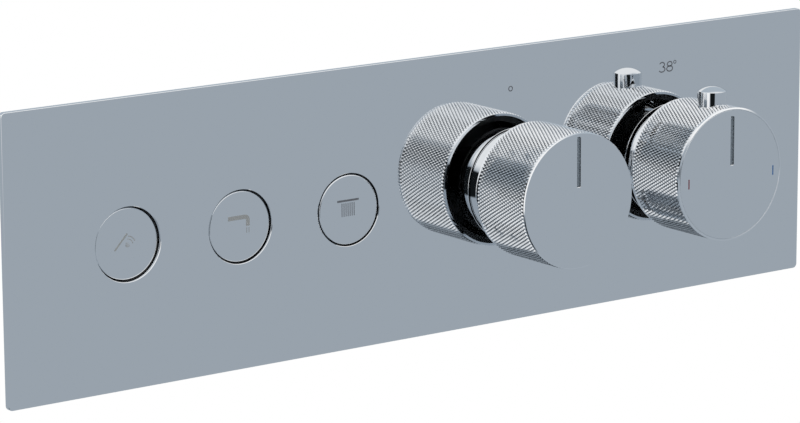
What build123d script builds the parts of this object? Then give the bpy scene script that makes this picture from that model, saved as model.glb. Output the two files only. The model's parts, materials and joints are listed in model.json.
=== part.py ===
"""Concealed thermostatic bath and shower mixer with three push buttons and two knurled knobs.

All sizes are in millimetres. The origin is the centre of the face plate on the finished wall.
X runs to the right, Y into the wall and Z up. A height is a distance in front of the finished
wall, towards the room, and a depth is a distance behind it.
"""

import os
from math import cos, pi, radians, sin

from build123d import *

os.makedirs("parts", exist_ok=True)

# Face plate and its gasket
plate_width = 350.0
plate_height = 101.0
plate_thickness = 2.0
plate_corner_radius = 2.5
plate_edge_round = 0.4
gasket_thickness = 1.5
gasket_width = 8.0
gasket_inset = 4.0

# Row of controls
first_button_x = -127.0
button_pitch = 45.5
knob_pitch = 73.0

# Push buttons
button_radius = 12.45
button_gap = 0.55
button_stands_out = 0.5
button_travel = 3.0
button_crown = 2.5
button_wall = 1.5
button_edge = 0.4
button_guide_wall = 2.7
button_guide_clearance = 0.35
button_socket_wall = 2.0
button_socket_depth = 4.5
button_bottom_gap = 0.5

# Knobs
knob_radius = 24.75
knob_wall = 1.25
knob_edge = 0.5
flow_face_height = 37.7
flow_rim_height = 9.4
temperature_face_height = 35.0
temperature_rim_height = 7.3
knob_face_thickness = 4.0
bevel_width = 1.5
bevel_height = 0.8
cap_thickness = 3.1
cap_seam = 0.15
cap_land = 0.2
cap_shelf = 4.0
indicator_width = 1.5
indicator_inner_end = 4.6
indicator_outer_end = 21.9
indicator_depth = 0.8

# Knob inserts
insert_clearance = 0.1
insert_recess = 2.0
insert_skirt = 2.1
insert_web = 7.0
insert_thick_web = 14.0
hub_radius = 9.5
hub_recess = 1.2
grub_screw_radius = 1.5
grub_screw_length = 4.5
grub_socket_radius = 0.9
knob_screw_radius = 2.0
knob_screw_length = 12.0
knob_screw_head_radius = 3.5
knob_screw_head_height = 2.0
knob_screw_recess = 1.5
blind_bore_cover = 3.5

# Safety button on the temperature knob
safety_height = 24.3
safety_radius = 5.35
safety_shoulder = 3.6
safety_dome = 2.5
safety_travel = 2.5
safety_flange_radius = 5.75
safety_flange_thickness = 2.2
safety_flange_foot = 20.2
safety_stem_radius = 2.0
safety_stem_end = 11.5
safety_spring_wire = 2.2
pocket_floor = 12.6
tongue_width = 4.0
tongue_thickness = 2.0
tongue_tip_radius = 15.2
tongue_inset = 0.2

# Chrome sleeves round the knob necks
sleeve_radius = 20.0
sleeve_wall = 1.5
flow_sleeve_height = 6.7
temperature_sleeve_height = 2.5
flow_sleeve_gap = 0.25
temperature_sleeve_gap = 0.8
sleeve_seal_section = 2.5

# Valve body, as depths behind the finished wall
body_depth = 74.0
cartridge_floor = 50.0
chamber_floor = 66.0
button_tower_front = 12.0
knob_tower_shoulder = 16.0
neck_front = 4.0
button_tower_radius = 17.5
knob_tower_radius = 22.0
button_bore = 13.5
flow_bore = 14.0
temperature_bore = 16.0
chamber_radius = 10.0
distribution_depth = 36.0
distribution_radius = 13.0
mixed_radius = 13.5
channel_radius = 7.0
casting_edge = 1.0

# Ports
port_radius = 9.3
port_length = 14.0
port_boss_radius = 13.5
port_collar_radius = 15.0
port_collar_length = 5.0
port_clearance = 1.0
port_reach = 46.0
inlet_top = 14.0
hot_inlet_offset = -32.0
cold_inlet_offset = 32.0
hot_depth = 28.0
cold_depth = 40.0
stub_radius = 9.0
stub_channel = 4.5
check_bore = 8.5
check_length = 22.0
inlet_channel = 6.0

# Mounting frame, snap studs, wall bracket and screws
frame_back = 7.5
frame_thickness = 1.5
frame_inset_x = 16.0
frame_inset_z = 10.5
frame_corner_radius = 4.0
frame_clearance = 0.6
pad_radius = 3.75
screw_radius = 1.5
screw_length = 9.0
screw_head_radius = 2.8
screw_head_height = 1.8
screw_socket_radius = 1.4
screw_socket_depth = 1.2
stud_radius = 2.5
stud_length = 13.5
stud_neck = 0.5
stud_inset_x = 25.0
stud_inset_z = 20.5
stud_socket_wall = 2.4
stud_socket_lip = 1.55
stud_socket_flange = 1.2
bracket_thickness = 3.0
bracket_width = 334.0
bracket_height = 84.0
bracket_corner_radius = 6.0
bracket_hole_radius = 2.75
bracket_spacing_x = 314.0
bracket_spacing_z = 64.0
body_screw_radius = 2.4
body_screw_head = 4.8
body_screw_cone = 2.4
body_screw_length = 9.0

# Fits, as gaps between surfaces
running_fit = 0.05
seated_fit = 0.1
free_gap = 0.3

# Cartridge parts
nut_barrel = 8.0
nut_flange_radius = 17.5
nut_flange = 4.0
nut_notches = 6
nut_notch_width = 4.0
nut_notch_depth = 1.8
flow_neck_radius = 9.5
temperature_neck_radius = 11.4
flow_neck_height = 4.0
spindle_radius = 4.5
spindle_end_gap = 0.5
disc_radius = 10.3
disc_thickness = 3.0
disc_port_radius = 2.6
disc_port_offset = 5.6
disc_chamber = 10.5
disc_chamber_depth = 32.0
drive_flange_radius = 9.5
drive_flange_thickness = 2.5
thrust_collar_radius = 7.0
thrust_collar = 2.0
flow_port_radius = 2.4
flow_port_depth = 34.5
flow_ports = 6
seat_seal_bore = 7.0
seat_seal_thickness = 5.0
o_ring_minor = 0.7
o_ring_groove = 2.0
seal_depths = (22.0, 46.5)
thermostat_seal_depths = (20.5, 34.0, 47.3)

# Thermostat
shuttle_radius = 11.2
shuttle_wall = 1.6
shuttle_top = 30.0
shuttle_length = 8.0
shuttle_web = 2.0
shuttle_web_depth = 33.0
shuttle_hole_radius = 1.1
shuttle_travel = 0.5
spring_clearance = 0.6
window_radius = 1.4
window_centres = (29.4, 38.6)
windows = 8
water_groove_radius = 14.0
water_grooves = ((23.5, 32.0), (36.0, 44.5))
element_radius = 5.0
element_top = 24.0
element_length = 22.0
element_flange_radius = 7.0
piston_radius = 1.6
adjuster_radius = 8.4
adjuster_length = 7.0
adjuster_floor = 1.5
adjuster_chamber_top = 8.0
adjuster_chamber_end = 20.0
spindle_collar_radius = 7.0
spindle_collar = 2.7
spindle_thread_radius = 3.5
cold_seat_bore = 6.5
cold_seat_length = 7.0
return_spring_wire = 1.6
stop_ring_radius = 17.6
stop_ring_height = 6.0
stop_finger_width = 2.0
stop_finger_angle = 12.0

# Push valve cartridges
valve_hex_radius = 16.5
valve_hex_height = 4.0
valve_guide = 2.0
valve_wall = 4.4
valve_seat_depth = 38.0
valve_seat_thickness = 2.0
valve_seat_bore = 5.5
valve_port_radius = 3.0
valve_port_depth = 33.0
valve_ports = 6
valve_spring_wire = 2.9
plunger_radius = 4.0
plunger_collar_radius = 7.5
plunger_collar = 2.0
plunger_tip_radius = 2.5
valve_disc_radius = 7.5
valve_disc_thickness = 3.0
valve_stud_radius = 2.0
valve_stud_head = 1.2
plunger_seal_radius = 6.0
plunger_seal_height = 2.0

# Inlet check valves
strainer_radius = 8.9
strainer_thickness = 1.0
strainer_recess = 0.2
strainer_hole_radius = 0.6
strainer_hole_pitch = 2.2
strainer_rings = 3
check_wall = 2.2
check_seat_bore = 4.5
check_seat = 2.0
poppet_radius = 5.6
poppet_thickness = 1.5
poppet_stem_radius = 1.2
poppet_stem_length = 11.5
check_bridge = 2.0
check_bridge_height = 10.0
check_spring_wire = 1.4

# Places that follow from the sizes above
plate_back = gasket_thickness
plate_front = plate_back + plate_thickness
button_names = ("hand_shower", "bath_spout", "overhead_shower")
button_axes = [first_button_x + index * button_pitch for index in range(len(button_names))]
flow_x = button_axes[-1] + knob_pitch
temperature_x = flow_x + knob_pitch
hot_x = temperature_x + hot_inlet_offset
cold_x = temperature_x + cold_inlet_offset
inlets = {"hot": (hot_x, hot_depth), "cold": (cold_x, cold_depth)}
outlet_ends = {"hand_shower": -port_reach, "bath_spout": -port_reach, "overhead_shower": port_reach}
chamber_depth = body_depth - port_collar_radius - port_clearance
barrel_foot = -cartridge_floor + seated_fit
nut_foot = -neck_front - nut_barrel
frame_front = -frame_back + frame_thickness
frame_width = plate_width - 2 * frame_inset_x
frame_height = plate_height - 2 * frame_inset_z
stud_spacing_x = plate_width - 2 * stud_inset_x
stud_spacing_z = plate_height - 2 * stud_inset_z
bracket_rear = -body_depth - bracket_thickness
sleeve_bore = sleeve_radius - sleeve_wall
neck_radius = sleeve_bore - seated_fit
knob_bore = knob_radius - knob_wall
spindle_bore = spindle_radius + running_fit
pads = [(button_axes[0] + button_axes[1]) / 2, (button_axes[1] + button_axes[2]) / 2, hot_x, cold_x]
body_screws = button_axes + [flow_x, temperature_x]


def level(height, x=0.0):
    """A sketch plane parallel to the wall at a height, centred on x, with Z up."""
    return Plane(origin=(x, -height, 0), x_dir=(1, 0, 0), z_dir=(0, -1, 0))


def turned(x, outline, mode=Mode.ADD):
    """Turn a closed outline of (radius, height) points about the axis square to the wall at x."""
    half_section = Plane(origin=(x, 0, 0), x_dir=(1, 0, 0), z_dir=(0, 0, -1))
    with BuildSketch(half_section) as profile:
        with BuildLine():
            Polyline(*outline, close=True)
        make_face()
    revolve(profile.sketch, axis=Axis((x, 0, 0), (0, -1, 0)), mode=mode)


def turned_upright(x, depth, outline, mode=Mode.ADD):
    """Turn a closed outline of (radius, z) points about the vertical axis at x and depth."""
    with BuildSketch(level(-depth, x)) as profile:
        with BuildLine():
            Polyline(*outline, close=True)
        make_face()
    revolve(profile.sketch, axis=Axis((x, depth, 0), (0, 0, 1)), mode=mode)


def slug(x, radius, low, high, mode=Mode.ADD):
    """A round slug square to the wall between two heights."""
    with BuildSketch(level(low, x)) as face:
        Circle(radius)
    extrude(face.sketch, amount=high - low, mode=mode)


def ring(x, outer, inner, low, high, mode=Mode.ADD):
    """A plain ring square to the wall between two heights."""
    with BuildSketch(level(low, x)) as face:
        Circle(outer)
        Circle(inner, mode=Mode.SUBTRACT)
    extrude(face.sketch, amount=high - low, mode=mode)


def along(x_from, x_to, depth, radius, mode=Mode.ADD):
    """A round bar or channel along X at a depth behind the wall, level with the controls."""
    with BuildSketch(Plane.YZ.offset(x_from)) as face:
        with Locations((depth, 0)):
            Circle(radius)
    extrude(face.sketch, amount=x_to - x_from, mode=mode)


def block(x, width, z_from, z_to, low, high, mode=Mode.ADD):
    """A square block centred on x, between two z values and two heights."""
    with BuildSketch(level(low, x)) as face:
        with Locations((0, (z_from + z_to) / 2)):
            Rectangle(width, z_to - z_from)
    extrude(face.sketch, amount=high - low, mode=mode)


def upright(x, depth, radius, z_from, z_to, mode=Mode.ADD):
    """A round boss or channel along Z at a depth behind the wall."""
    with BuildSketch(Plane.XY.offset(z_from)) as face:
        with Locations((x, depth)):
            Circle(radius)
    extrude(face.sketch, amount=z_to - z_from, mode=mode)


def spoke_holes(x, depth, radius, reach, count):
    """Round holes that run outwards from the axis at x, evenly spaced, at one depth."""
    for index in range(count):
        turn = 2 * pi * index / count
        with BuildSketch(Plane(origin=(x, depth, 0), z_dir=(cos(turn), 0, sin(turn)))) as face:
            Circle(radius)
        extrude(face.sketch, amount=reach, mode=Mode.SUBTRACT)


def seal_groove(x, bore, depth):
    """A groove for an O-ring round a barrel that stands in a bore."""
    floor = bore - 2 * o_ring_minor - running_fit
    ring(x, bore, floor, -depth - o_ring_groove / 2, -depth + o_ring_groove / 2, Mode.SUBTRACT)


def o_ring(x, bore, depth):
    """An O-ring that lies in the groove and stops just short of the bore."""
    with Locations((x, depth, 0)):
        Torus(bore - o_ring_minor - running_fit / 2, o_ring_minor - running_fit / 2, rotation=(90, 0, 0))


def indicator_groove(x, face):
    """The upright groove with round ends, sunk into a knob's flat face."""
    length = indicator_outer_end - indicator_inner_end
    with BuildSketch(level(face, x)) as groove:
        with Locations((0, (indicator_inner_end + indicator_outer_end) / 2)):
            SlotOverall(length, indicator_width, rotation=90)
    extrude(groove.sketch, amount=-indicator_depth, mode=Mode.SUBTRACT)


def ring_nut(x, barrel, bore):
    """A notched ring nut: a threaded barrel in the tower's neck under a flange with key notches."""
    turned(
        x,
        [
            (bore, nut_foot),
            (barrel, nut_foot),
            (barrel, -neck_front),
            (nut_flange_radius, -neck_front),
            (nut_flange_radius, -neck_front + nut_flange),
            (bore, -neck_front + nut_flange),
        ],
    )
    with BuildSketch(level(-neck_front, x)) as notches:
        with PolarLocations(nut_flange_radius, nut_notches):
            Rectangle(2 * nut_notch_depth, nut_notch_width)
    extrude(notches.sketch, amount=nut_flange, mode=Mode.SUBTRACT)


def disc_ports(angle, low, high):
    """The pair of water ports in a disc of the flow cartridge, at an angle from the X direction."""
    with BuildSketch(level(low, flow_x)) as ports:
        with PolarLocations(disc_port_offset, 2, start_angle=angle):
            Circle(disc_port_radius)
    extrude(ports.sketch, amount=high - low, mode=Mode.SUBTRACT)


def countersunk(rear, grow):
    """Outline of a countersunk screw with its flat head at the rear, grown by a clearance."""
    shank = body_screw_radius + grow
    tip = rear + body_screw_length
    return [
        (0, rear),
        (body_screw_head + grow, rear),
        (shank, rear + body_screw_cone),
        (shank, tip),
        (0, tip),
    ]


def finish(piece, name):
    """Label a finished piece and write it to its own file."""
    piece.part.label = name
    export_step(piece.part, f"parts/{name}.step")


# The face plate: a flat plate with eased front edges and an opening for each control.
with BuildPart() as face_plate:
    with BuildSketch(level(plate_back)):
        RectangleRounded(plate_width, plate_height, plate_corner_radius)
    extrude(amount=plate_thickness)
    fillet(face_plate.faces().sort_by(Axis.Y)[0].edges(), plate_edge_round)
    for x in button_axes:
        slug(x, button_radius + button_gap, plate_back, plate_front, Mode.SUBTRACT)
    slug(flow_x, sleeve_radius + flow_sleeve_gap, plate_back, plate_front, Mode.SUBTRACT)
    slug(temperature_x, sleeve_radius + temperature_sleeve_gap, plate_back, plate_front, Mode.SUBTRACT)
finish(face_plate, "face_plate")

# A foam gasket closes the gap between the plate's rim and the finished wall.
with BuildPart() as plate_gasket:
    with BuildSketch(level(0)):
        rim_to_rim = 2 * gasket_inset
        RectangleRounded(plate_width - rim_to_rim, plate_height - rim_to_rim, plate_corner_radius)
        hollow = 2 * (gasket_inset + gasket_width)
        RectangleRounded(
            plate_width - hollow, plate_height - hollow, plate_corner_radius, mode=Mode.SUBTRACT
        )
    extrude(amount=gasket_thickness)
finish(plate_gasket, "plate_gasket")

# Four necked studs on the plate's back snap into sockets in the mounting frame.
socket_bore = stud_radius + running_fit
socket_radius = socket_bore + stud_socket_wall
with BuildPart() as plate_studs:
    with BuildSketch(level(plate_back - stud_length)):
        with GridLocations(stud_spacing_x, stud_spacing_z, 2, 2):
            Circle(stud_radius)
    extrude(amount=stud_length)
    with BuildSketch(level(-frame_back - 2 * stud_socket_flange)):
        with GridLocations(stud_spacing_x, stud_spacing_z, 2, 2):
            Circle(stud_radius)
            Circle(stud_radius - stud_neck, mode=Mode.SUBTRACT)
    extrude(amount=stud_socket_flange, mode=Mode.SUBTRACT)
finish(plate_studs, "plate_studs")

with BuildPart() as snap_sockets:
    with BuildSketch(level(-frame_back - stud_socket_flange)):
        with GridLocations(stud_spacing_x, stud_spacing_z, 2, 2):
            Circle(socket_radius)
    extrude(amount=frame_thickness + 2 * stud_socket_flange)
    for foot in (-frame_back - stud_socket_flange, frame_front):
        with BuildSketch(level(foot)):
            with GridLocations(stud_spacing_x, stud_spacing_z, 2, 2):
                Circle(socket_radius + stud_socket_lip)
        extrude(amount=stud_socket_flange)
    with BuildSketch(level(-frame_back - stud_socket_flange)):
        with GridLocations(stud_spacing_x, stud_spacing_z, 2, 2):
            Circle(socket_bore)
    extrude(amount=frame_thickness + 2 * stud_socket_flange, mode=Mode.SUBTRACT)
finish(snap_sockets, "snap_sockets")

# The mounting frame is a sheet screwed to four pads of the valve body.
with BuildPart() as mounting_frame:
    with BuildSketch(level(-frame_back)):
        RectangleRounded(frame_width, frame_height, frame_corner_radius)
        with Locations(*[(x, 0) for x in button_axes]):
            Circle(button_radius + button_gap + frame_clearance, mode=Mode.SUBTRACT)
        with Locations((flow_x, 0), (temperature_x, 0)):
            Circle(sleeve_radius + frame_clearance, mode=Mode.SUBTRACT)
        with Locations(*[(x, 0) for x in pads]):
            Circle(screw_radius + free_gap, mode=Mode.SUBTRACT)
        with GridLocations(stud_spacing_x, stud_spacing_z, 2, 2):
            Circle(socket_radius + seated_fit, mode=Mode.SUBTRACT)
    extrude(amount=frame_thickness)
finish(mounting_frame, "mounting_frame")

with BuildPart() as frame_screws:
    for x in pads:
        slug(x, screw_radius, frame_front - screw_length, frame_front)
        slug(x, screw_head_radius, frame_front, frame_front + screw_head_height)
        with BuildSketch(level(frame_front + screw_head_height, x)) as key_socket:
            RegularPolygon(screw_socket_radius, 6)
        extrude(key_socket.sketch, amount=-screw_socket_depth, mode=Mode.SUBTRACT)
finish(frame_screws, "frame_screws")

# Plastic guides behind the plate keep the button caps central in their openings.
guide_bore = button_radius + button_guide_clearance
with BuildPart() as button_guides:
    for x in button_axes:
        ring(x, guide_bore + button_guide_wall, guide_bore, frame_front, plate_back)
finish(button_guides, "button_guides")

# Square-section seals lie behind the plate round the two chrome sleeves.
seal_bore = sleeve_radius + running_fit
with BuildPart() as sleeve_seals:
    for x in (flow_x, temperature_x):
        ring(x, seal_bore + sleeve_seal_section, seal_bore, plate_back - sleeve_seal_section, plate_back)
finish(sleeve_seals, "sleeve_seals")

# The chrome sleeves slide over the necks of the knob towers and pass through the plate.
with BuildPart() as flow_sleeve:
    ring(flow_x, sleeve_radius, sleeve_bore, -knob_tower_shoulder, plate_front + flow_sleeve_height)
finish(flow_sleeve, "flow_sleeve")

with BuildPart() as temperature_sleeve:
    top = plate_front + temperature_sleeve_height
    ring(temperature_x, sleeve_radius, sleeve_bore, -knob_tower_shoulder, top)
finish(temperature_sleeve, "temperature_sleeve")

# The valve body: five towers on a distribution bar and a mixed-water bar, with its port bosses.
with BuildPart() as valve_body:
    for x in button_axes:
        turned(
            x,
            [
                (0, -body_depth),
                (button_tower_radius - casting_edge, -body_depth),
                (button_tower_radius, -body_depth + casting_edge),
                (button_tower_radius, -button_tower_front - casting_edge),
                (button_tower_radius - casting_edge, -button_tower_front),
                (0, -button_tower_front),
            ],
        )
    for x in (flow_x, temperature_x):
        turned(
            x,
            [
                (0, -body_depth),
                (knob_tower_radius - casting_edge, -body_depth),
                (knob_tower_radius, -body_depth + casting_edge),
                (knob_tower_radius, -knob_tower_shoulder - casting_edge),
                (knob_tower_radius - casting_edge, -knob_tower_shoulder),
                (neck_radius, -knob_tower_shoulder),
                (neck_radius, -neck_front),
                (0, -neck_front),
            ],
        )
    along(button_axes[0], flow_x, distribution_depth, distribution_radius)
    along(flow_x, temperature_x, chamber_depth, mixed_radius)
    for name, x in zip(button_names, button_axes):
        end = outlet_ends[name]
        outwards = end / port_reach
        upright(x, chamber_depth, port_boss_radius, 0, end)
        upright(x, chamber_depth, port_collar_radius, end - outwards * port_collar_length, end)
    for x, depth in inlets.values():
        upright(x, depth, port_boss_radius, inlet_top, -port_reach)
        upright(x, depth, port_collar_radius, -port_reach + port_collar_length, -port_reach)
        along(x, temperature_x, depth, stub_radius)
    for x in pads[:2]:
        slug(x, pad_radius, -distribution_depth, -frame_back)
    for x, depth in inlets.values():
        slug(x, pad_radius, -depth, -frame_back)
    chamfer(valve_body.faces().group_by(Axis.Z)[0].edges(), casting_edge)
    chamfer(valve_body.faces().group_by(Axis.Z)[-1].edges(), casting_edge)
    # Bores for the cartridges, with a water chamber below each
    for x in button_axes:
        slug(x, button_bore, -cartridge_floor, -button_tower_front, Mode.SUBTRACT)
    slug(flow_x, flow_bore, -cartridge_floor, -neck_front, Mode.SUBTRACT)
    slug(temperature_x, temperature_bore, -cartridge_floor, -neck_front, Mode.SUBTRACT)
    for x in button_axes + [flow_x, temperature_x]:
        slug(x, chamber_radius, -chamber_floor, -cartridge_floor, Mode.SUBTRACT)
    # Water channels
    along(button_axes[0], flow_x, distribution_depth, channel_radius, Mode.SUBTRACT)
    along(flow_x, temperature_x, chamber_depth, channel_radius, Mode.SUBTRACT)
    for name, x in zip(button_names, button_axes):
        end = outlet_ends[name]
        shoulder = end - end / port_reach * port_length
        upright(x, chamber_depth, channel_radius, 0, shoulder, Mode.SUBTRACT)
        upright(x, chamber_depth, port_radius, shoulder, end, Mode.SUBTRACT)
    for x, depth in inlets.values():
        shoulder = -port_reach + port_length
        seat = shoulder - strainer_thickness - strainer_recess
        upright(x, depth, port_radius, -port_reach, seat, Mode.SUBTRACT)
        upright(x, depth, strainer_radius, seat, shoulder, Mode.SUBTRACT)
        upright(x, depth, check_bore, shoulder, shoulder + check_length, Mode.SUBTRACT)
        upright(x, depth, inlet_channel, shoulder + check_length, inlet_channel, Mode.SUBTRACT)
        along(x, temperature_x, depth, stub_channel, Mode.SUBTRACT)
    # Screw holes, for the frame in front and the bracket behind
    for x in pads:
        slug(x, screw_radius + running_fit, -frame_back - screw_length, -frame_back, Mode.SUBTRACT)
    for x in body_screws:
        tip = bracket_rear + body_screw_length + free_gap
        slug(x, body_screw_radius + running_fit, -body_depth, tip, Mode.SUBTRACT)
finish(valve_body, "valve_body")

# The wall bracket carries the valve body from behind and is screwed to the wall.
with BuildPart() as wall_bracket:
    with BuildSketch(level(bracket_rear)):
        RectangleRounded(bracket_width, bracket_height, bracket_corner_radius)
        with GridLocations(bracket_spacing_x, bracket_spacing_z, 2, 2):
            Circle(bracket_hole_radius, mode=Mode.SUBTRACT)
    extrude(amount=bracket_thickness)
    for x in body_screws:
        turned(x, countersunk(bracket_rear, seated_fit), Mode.SUBTRACT)
finish(wall_bracket, "wall_bracket")

with BuildPart() as bracket_screws:
    for x in body_screws:
        turned(x, countersunk(bracket_rear, 0))
finish(bracket_screws, "bracket_screws")

# Push valves: a hexagon-headed housing in each button tower, closed by a disc under its seat.
barrel_radius = button_bore - seated_fit
valve_chamber = barrel_radius - valve_wall
plunger_bore = plunger_radius + running_fit
hex_top = -button_tower_front + valve_hex_height
guide_foot = -button_tower_front - valve_guide
seat_foot = -valve_seat_depth - valve_seat_thickness
with BuildPart() as valve_housings:
    for x in button_axes:
        turned(
            x,
            [
                (plunger_bore, hex_top - plunger_seal_height),
                (plunger_seal_radius, hex_top - plunger_seal_height),
                (plunger_seal_radius, hex_top),
                (barrel_radius, hex_top),
                (barrel_radius, barrel_foot),
                (valve_chamber, barrel_foot),
                (valve_chamber, seat_foot),
                (valve_seat_bore, seat_foot),
                (valve_seat_bore, -valve_seat_depth),
                (valve_chamber, -valve_seat_depth),
                (valve_chamber, guide_foot),
                (plunger_bore, guide_foot),
            ],
        )
        with BuildSketch(level(-button_tower_front, x)):
            RegularPolygon(valve_hex_radius, 6)
            Circle(plunger_seal_radius, mode=Mode.SUBTRACT)
        extrude(amount=valve_hex_height)
        spoke_holes(x, valve_port_depth, valve_port_radius, button_bore, valve_ports)
        for depth in seal_depths:
            seal_groove(x, button_bore, depth)
finish(valve_housings, "valve_housings")

with BuildPart() as valve_o_rings:
    for x in button_axes:
        for depth in seal_depths:
            o_ring(x, button_bore, depth)
finish(valve_o_rings, "valve_o_rings")

with BuildPart() as plunger_seals:
    for x in button_axes:
        ring(x, plunger_seal_radius, plunger_bore, hex_top - plunger_seal_height, hex_top)
finish(plunger_seals, "plunger_seals")

# Button caps, plungers, valve discs and springs, one set for each outlet.
crown = plate_front + button_stands_out
cap_ceiling = crown - button_crown
socket_foot = cap_ceiling - button_socket_depth
skirt_foot = hex_top + button_travel + button_bottom_gap
tip_bore = plunger_tip_radius + running_fit
collar_top = guide_foot - free_gap
disc_top = seat_foot - running_fit
disc_foot = disc_top - valve_disc_thickness
for name, x in zip(button_names, button_axes):
    with BuildPart() as button_cap:
        turned(
            x,
            [
                (0, crown),
                (button_radius - button_edge, crown),
                (button_radius, crown - button_edge),
                (button_radius, skirt_foot),
                (button_radius - button_wall, skirt_foot),
                (button_radius - button_wall, cap_ceiling),
                (tip_bore + button_socket_wall, cap_ceiling),
                (tip_bore + button_socket_wall, socket_foot),
                (tip_bore, socket_foot),
                (tip_bore, cap_ceiling),
                (0, cap_ceiling),
            ],
        )
    finish(button_cap, f"{name}_button")

    with BuildPart() as plunger:
        turned(
            x,
            [
                (0, cap_ceiling - seated_fit),
                (plunger_tip_radius, cap_ceiling - seated_fit),
                (plunger_tip_radius, socket_foot),
                (plunger_radius, socket_foot),
                (plunger_radius, collar_top),
                (plunger_collar_radius, collar_top),
                (plunger_collar_radius, collar_top - plunger_collar),
                (plunger_radius, collar_top - plunger_collar),
                (plunger_radius, seat_foot),
                (valve_stud_radius, seat_foot),
                (valve_stud_radius, disc_foot),
                (valve_stud_radius + valve_stud_head, disc_foot),
                (valve_stud_radius + valve_stud_head, disc_foot - valve_stud_head),
                (0, disc_foot - valve_stud_head),
            ],
        )
    finish(plunger, f"{name}_plunger")

    with BuildPart() as valve_disc:
        ring(x, valve_disc_radius, valve_stud_radius, disc_foot, disc_top)
    finish(valve_disc, f"{name}_valve_disc")

    with BuildPart() as valve_spring:
        outer = valve_chamber - spring_clearance
        ring(x, outer, outer - valve_spring_wire, -valve_seat_depth, collar_top - plunger_collar)
    finish(valve_spring, f"{name}_spring")

# Flow cartridge: a housing held in its tower by a ring nut, with two ceramic discs on a seat.
flow_barrel = flow_bore - seated_fit
chamber_top = -disc_chamber_depth
seat_top = -cartridge_floor + seat_seal_thickness
fixed_top = seat_top + disc_thickness
moving_top = fixed_top + disc_thickness
with BuildPart() as flow_housing:
    turned(
        flow_x,
        [
            (spindle_bore, flow_neck_height),
            (flow_neck_radius, flow_neck_height),
            (flow_neck_radius, nut_foot),
            (flow_barrel, nut_foot),
            (flow_barrel, barrel_foot),
            (disc_chamber, barrel_foot),
            (disc_chamber, chamber_top),
            (spindle_bore, chamber_top),
        ],
    )
    spoke_holes(flow_x, flow_port_depth, flow_port_radius, flow_bore, flow_ports)
    for depth in seal_depths:
        seal_groove(flow_x, flow_bore, depth)
finish(flow_housing, "flow_housing")

with BuildPart() as flow_nut:
    ring_nut(flow_x, flow_barrel, flow_neck_radius + seated_fit)
finish(flow_nut, "flow_nut")

with BuildPart() as flow_o_rings:
    for depth in seal_depths:
        o_ring(flow_x, flow_bore, depth)
finish(flow_o_rings, "flow_o_rings")

with BuildPart() as flow_seat_seal:
    ring(flow_x, disc_chamber - seated_fit, seat_seal_bore, -cartridge_floor, seat_top)
finish(flow_seat_seal, "flow_seat_seal")

with BuildPart() as flow_fixed_disc:
    slug(flow_x, disc_radius, seat_top, fixed_top)
    disc_ports(90, seat_top, fixed_top)
finish(flow_fixed_disc, "flow_fixed_disc")

with BuildPart() as flow_moving_disc:
    slug(flow_x, disc_radius, fixed_top, moving_top)
    disc_ports(0, fixed_top, moving_top)
finish(flow_moving_disc, "flow_moving_disc")

# The flow knob: a knurled metal shell on a plastic insert, clamped to the spindle by a grub screw.
flow_face = plate_front + flow_face_height
flow_rim = plate_front + flow_rim_height
flow_ceiling = flow_face - knob_face_thickness
flow_insert_foot = flow_rim + insert_recess
flow_hub_foot = flow_insert_foot + hub_recess
flow_web_foot = flow_ceiling - insert_web
grub_height = (flow_hub_foot + flow_web_foot) / 2
grub_access = grub_screw_radius + free_gap
insert_radius = knob_bore - insert_clearance
skirt_bore = insert_radius - insert_skirt
with BuildPart() as flow_spindle:
    turned(
        flow_x,
        [
            (0, moving_top),
            (drive_flange_radius, moving_top),
            (drive_flange_radius, moving_top + drive_flange_thickness),
            (spindle_radius, moving_top + drive_flange_thickness),
            (spindle_radius, chamber_top - free_gap - thrust_collar),
            (thrust_collar_radius, chamber_top - free_gap - thrust_collar),
            (thrust_collar_radius, chamber_top - free_gap),
            (spindle_radius, chamber_top - free_gap),
            (spindle_radius, flow_ceiling - spindle_end_gap),
            (0, flow_ceiling - spindle_end_gap),
        ],
    )
    disc_ports(0, moving_top, moving_top + drive_flange_thickness)
finish(flow_spindle, "flow_spindle")

with BuildPart() as flow_knob_shell:
    turned(
        flow_x,
        [
            (0, flow_face),
            (knob_radius - knob_edge, flow_face),
            (knob_radius, flow_face - knob_edge),
            (knob_radius, flow_rim + knob_edge),
            (knob_radius - knob_edge, flow_rim),
            (knob_bore, flow_rim),
            (knob_bore, flow_ceiling),
            (0, flow_ceiling),
        ],
    )
    indicator_groove(flow_x, flow_face)
    upright(flow_x, -grub_height, grub_access, -knob_radius, -skirt_bore, Mode.SUBTRACT)
finish(flow_knob_shell, "flow_knob_shell")

with BuildPart() as flow_knob_insert:
    turned(
        flow_x,
        [
            (spindle_bore, flow_hub_foot),
            (hub_radius, flow_hub_foot),
            (hub_radius, flow_web_foot),
            (skirt_bore, flow_web_foot),
            (skirt_bore, flow_insert_foot),
            (insert_radius, flow_insert_foot),
            (insert_radius, flow_ceiling),
            (spindle_bore, flow_ceiling),
        ],
    )
    upright(flow_x, -grub_height, grub_access, -knob_radius, -hub_radius, Mode.SUBTRACT)
    upright(flow_x, -grub_height, grub_screw_radius + running_fit, -hub_radius, 0, Mode.SUBTRACT)
finish(flow_knob_insert, "flow_knob_insert")

with BuildPart() as flow_grub_screw:
    tip = -spindle_bore
    upright(flow_x, -grub_height, grub_screw_radius, tip - grub_screw_length, tip)
    with BuildSketch(Plane.XY.offset(tip - grub_screw_length)) as key_socket:
        with Locations((flow_x, -grub_height)):
            RegularPolygon(grub_socket_radius, 6)
    extrude(key_socket.sketch, amount=grub_screw_radius, mode=Mode.SUBTRACT)
finish(flow_grub_screw, "flow_grub_screw")

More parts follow.
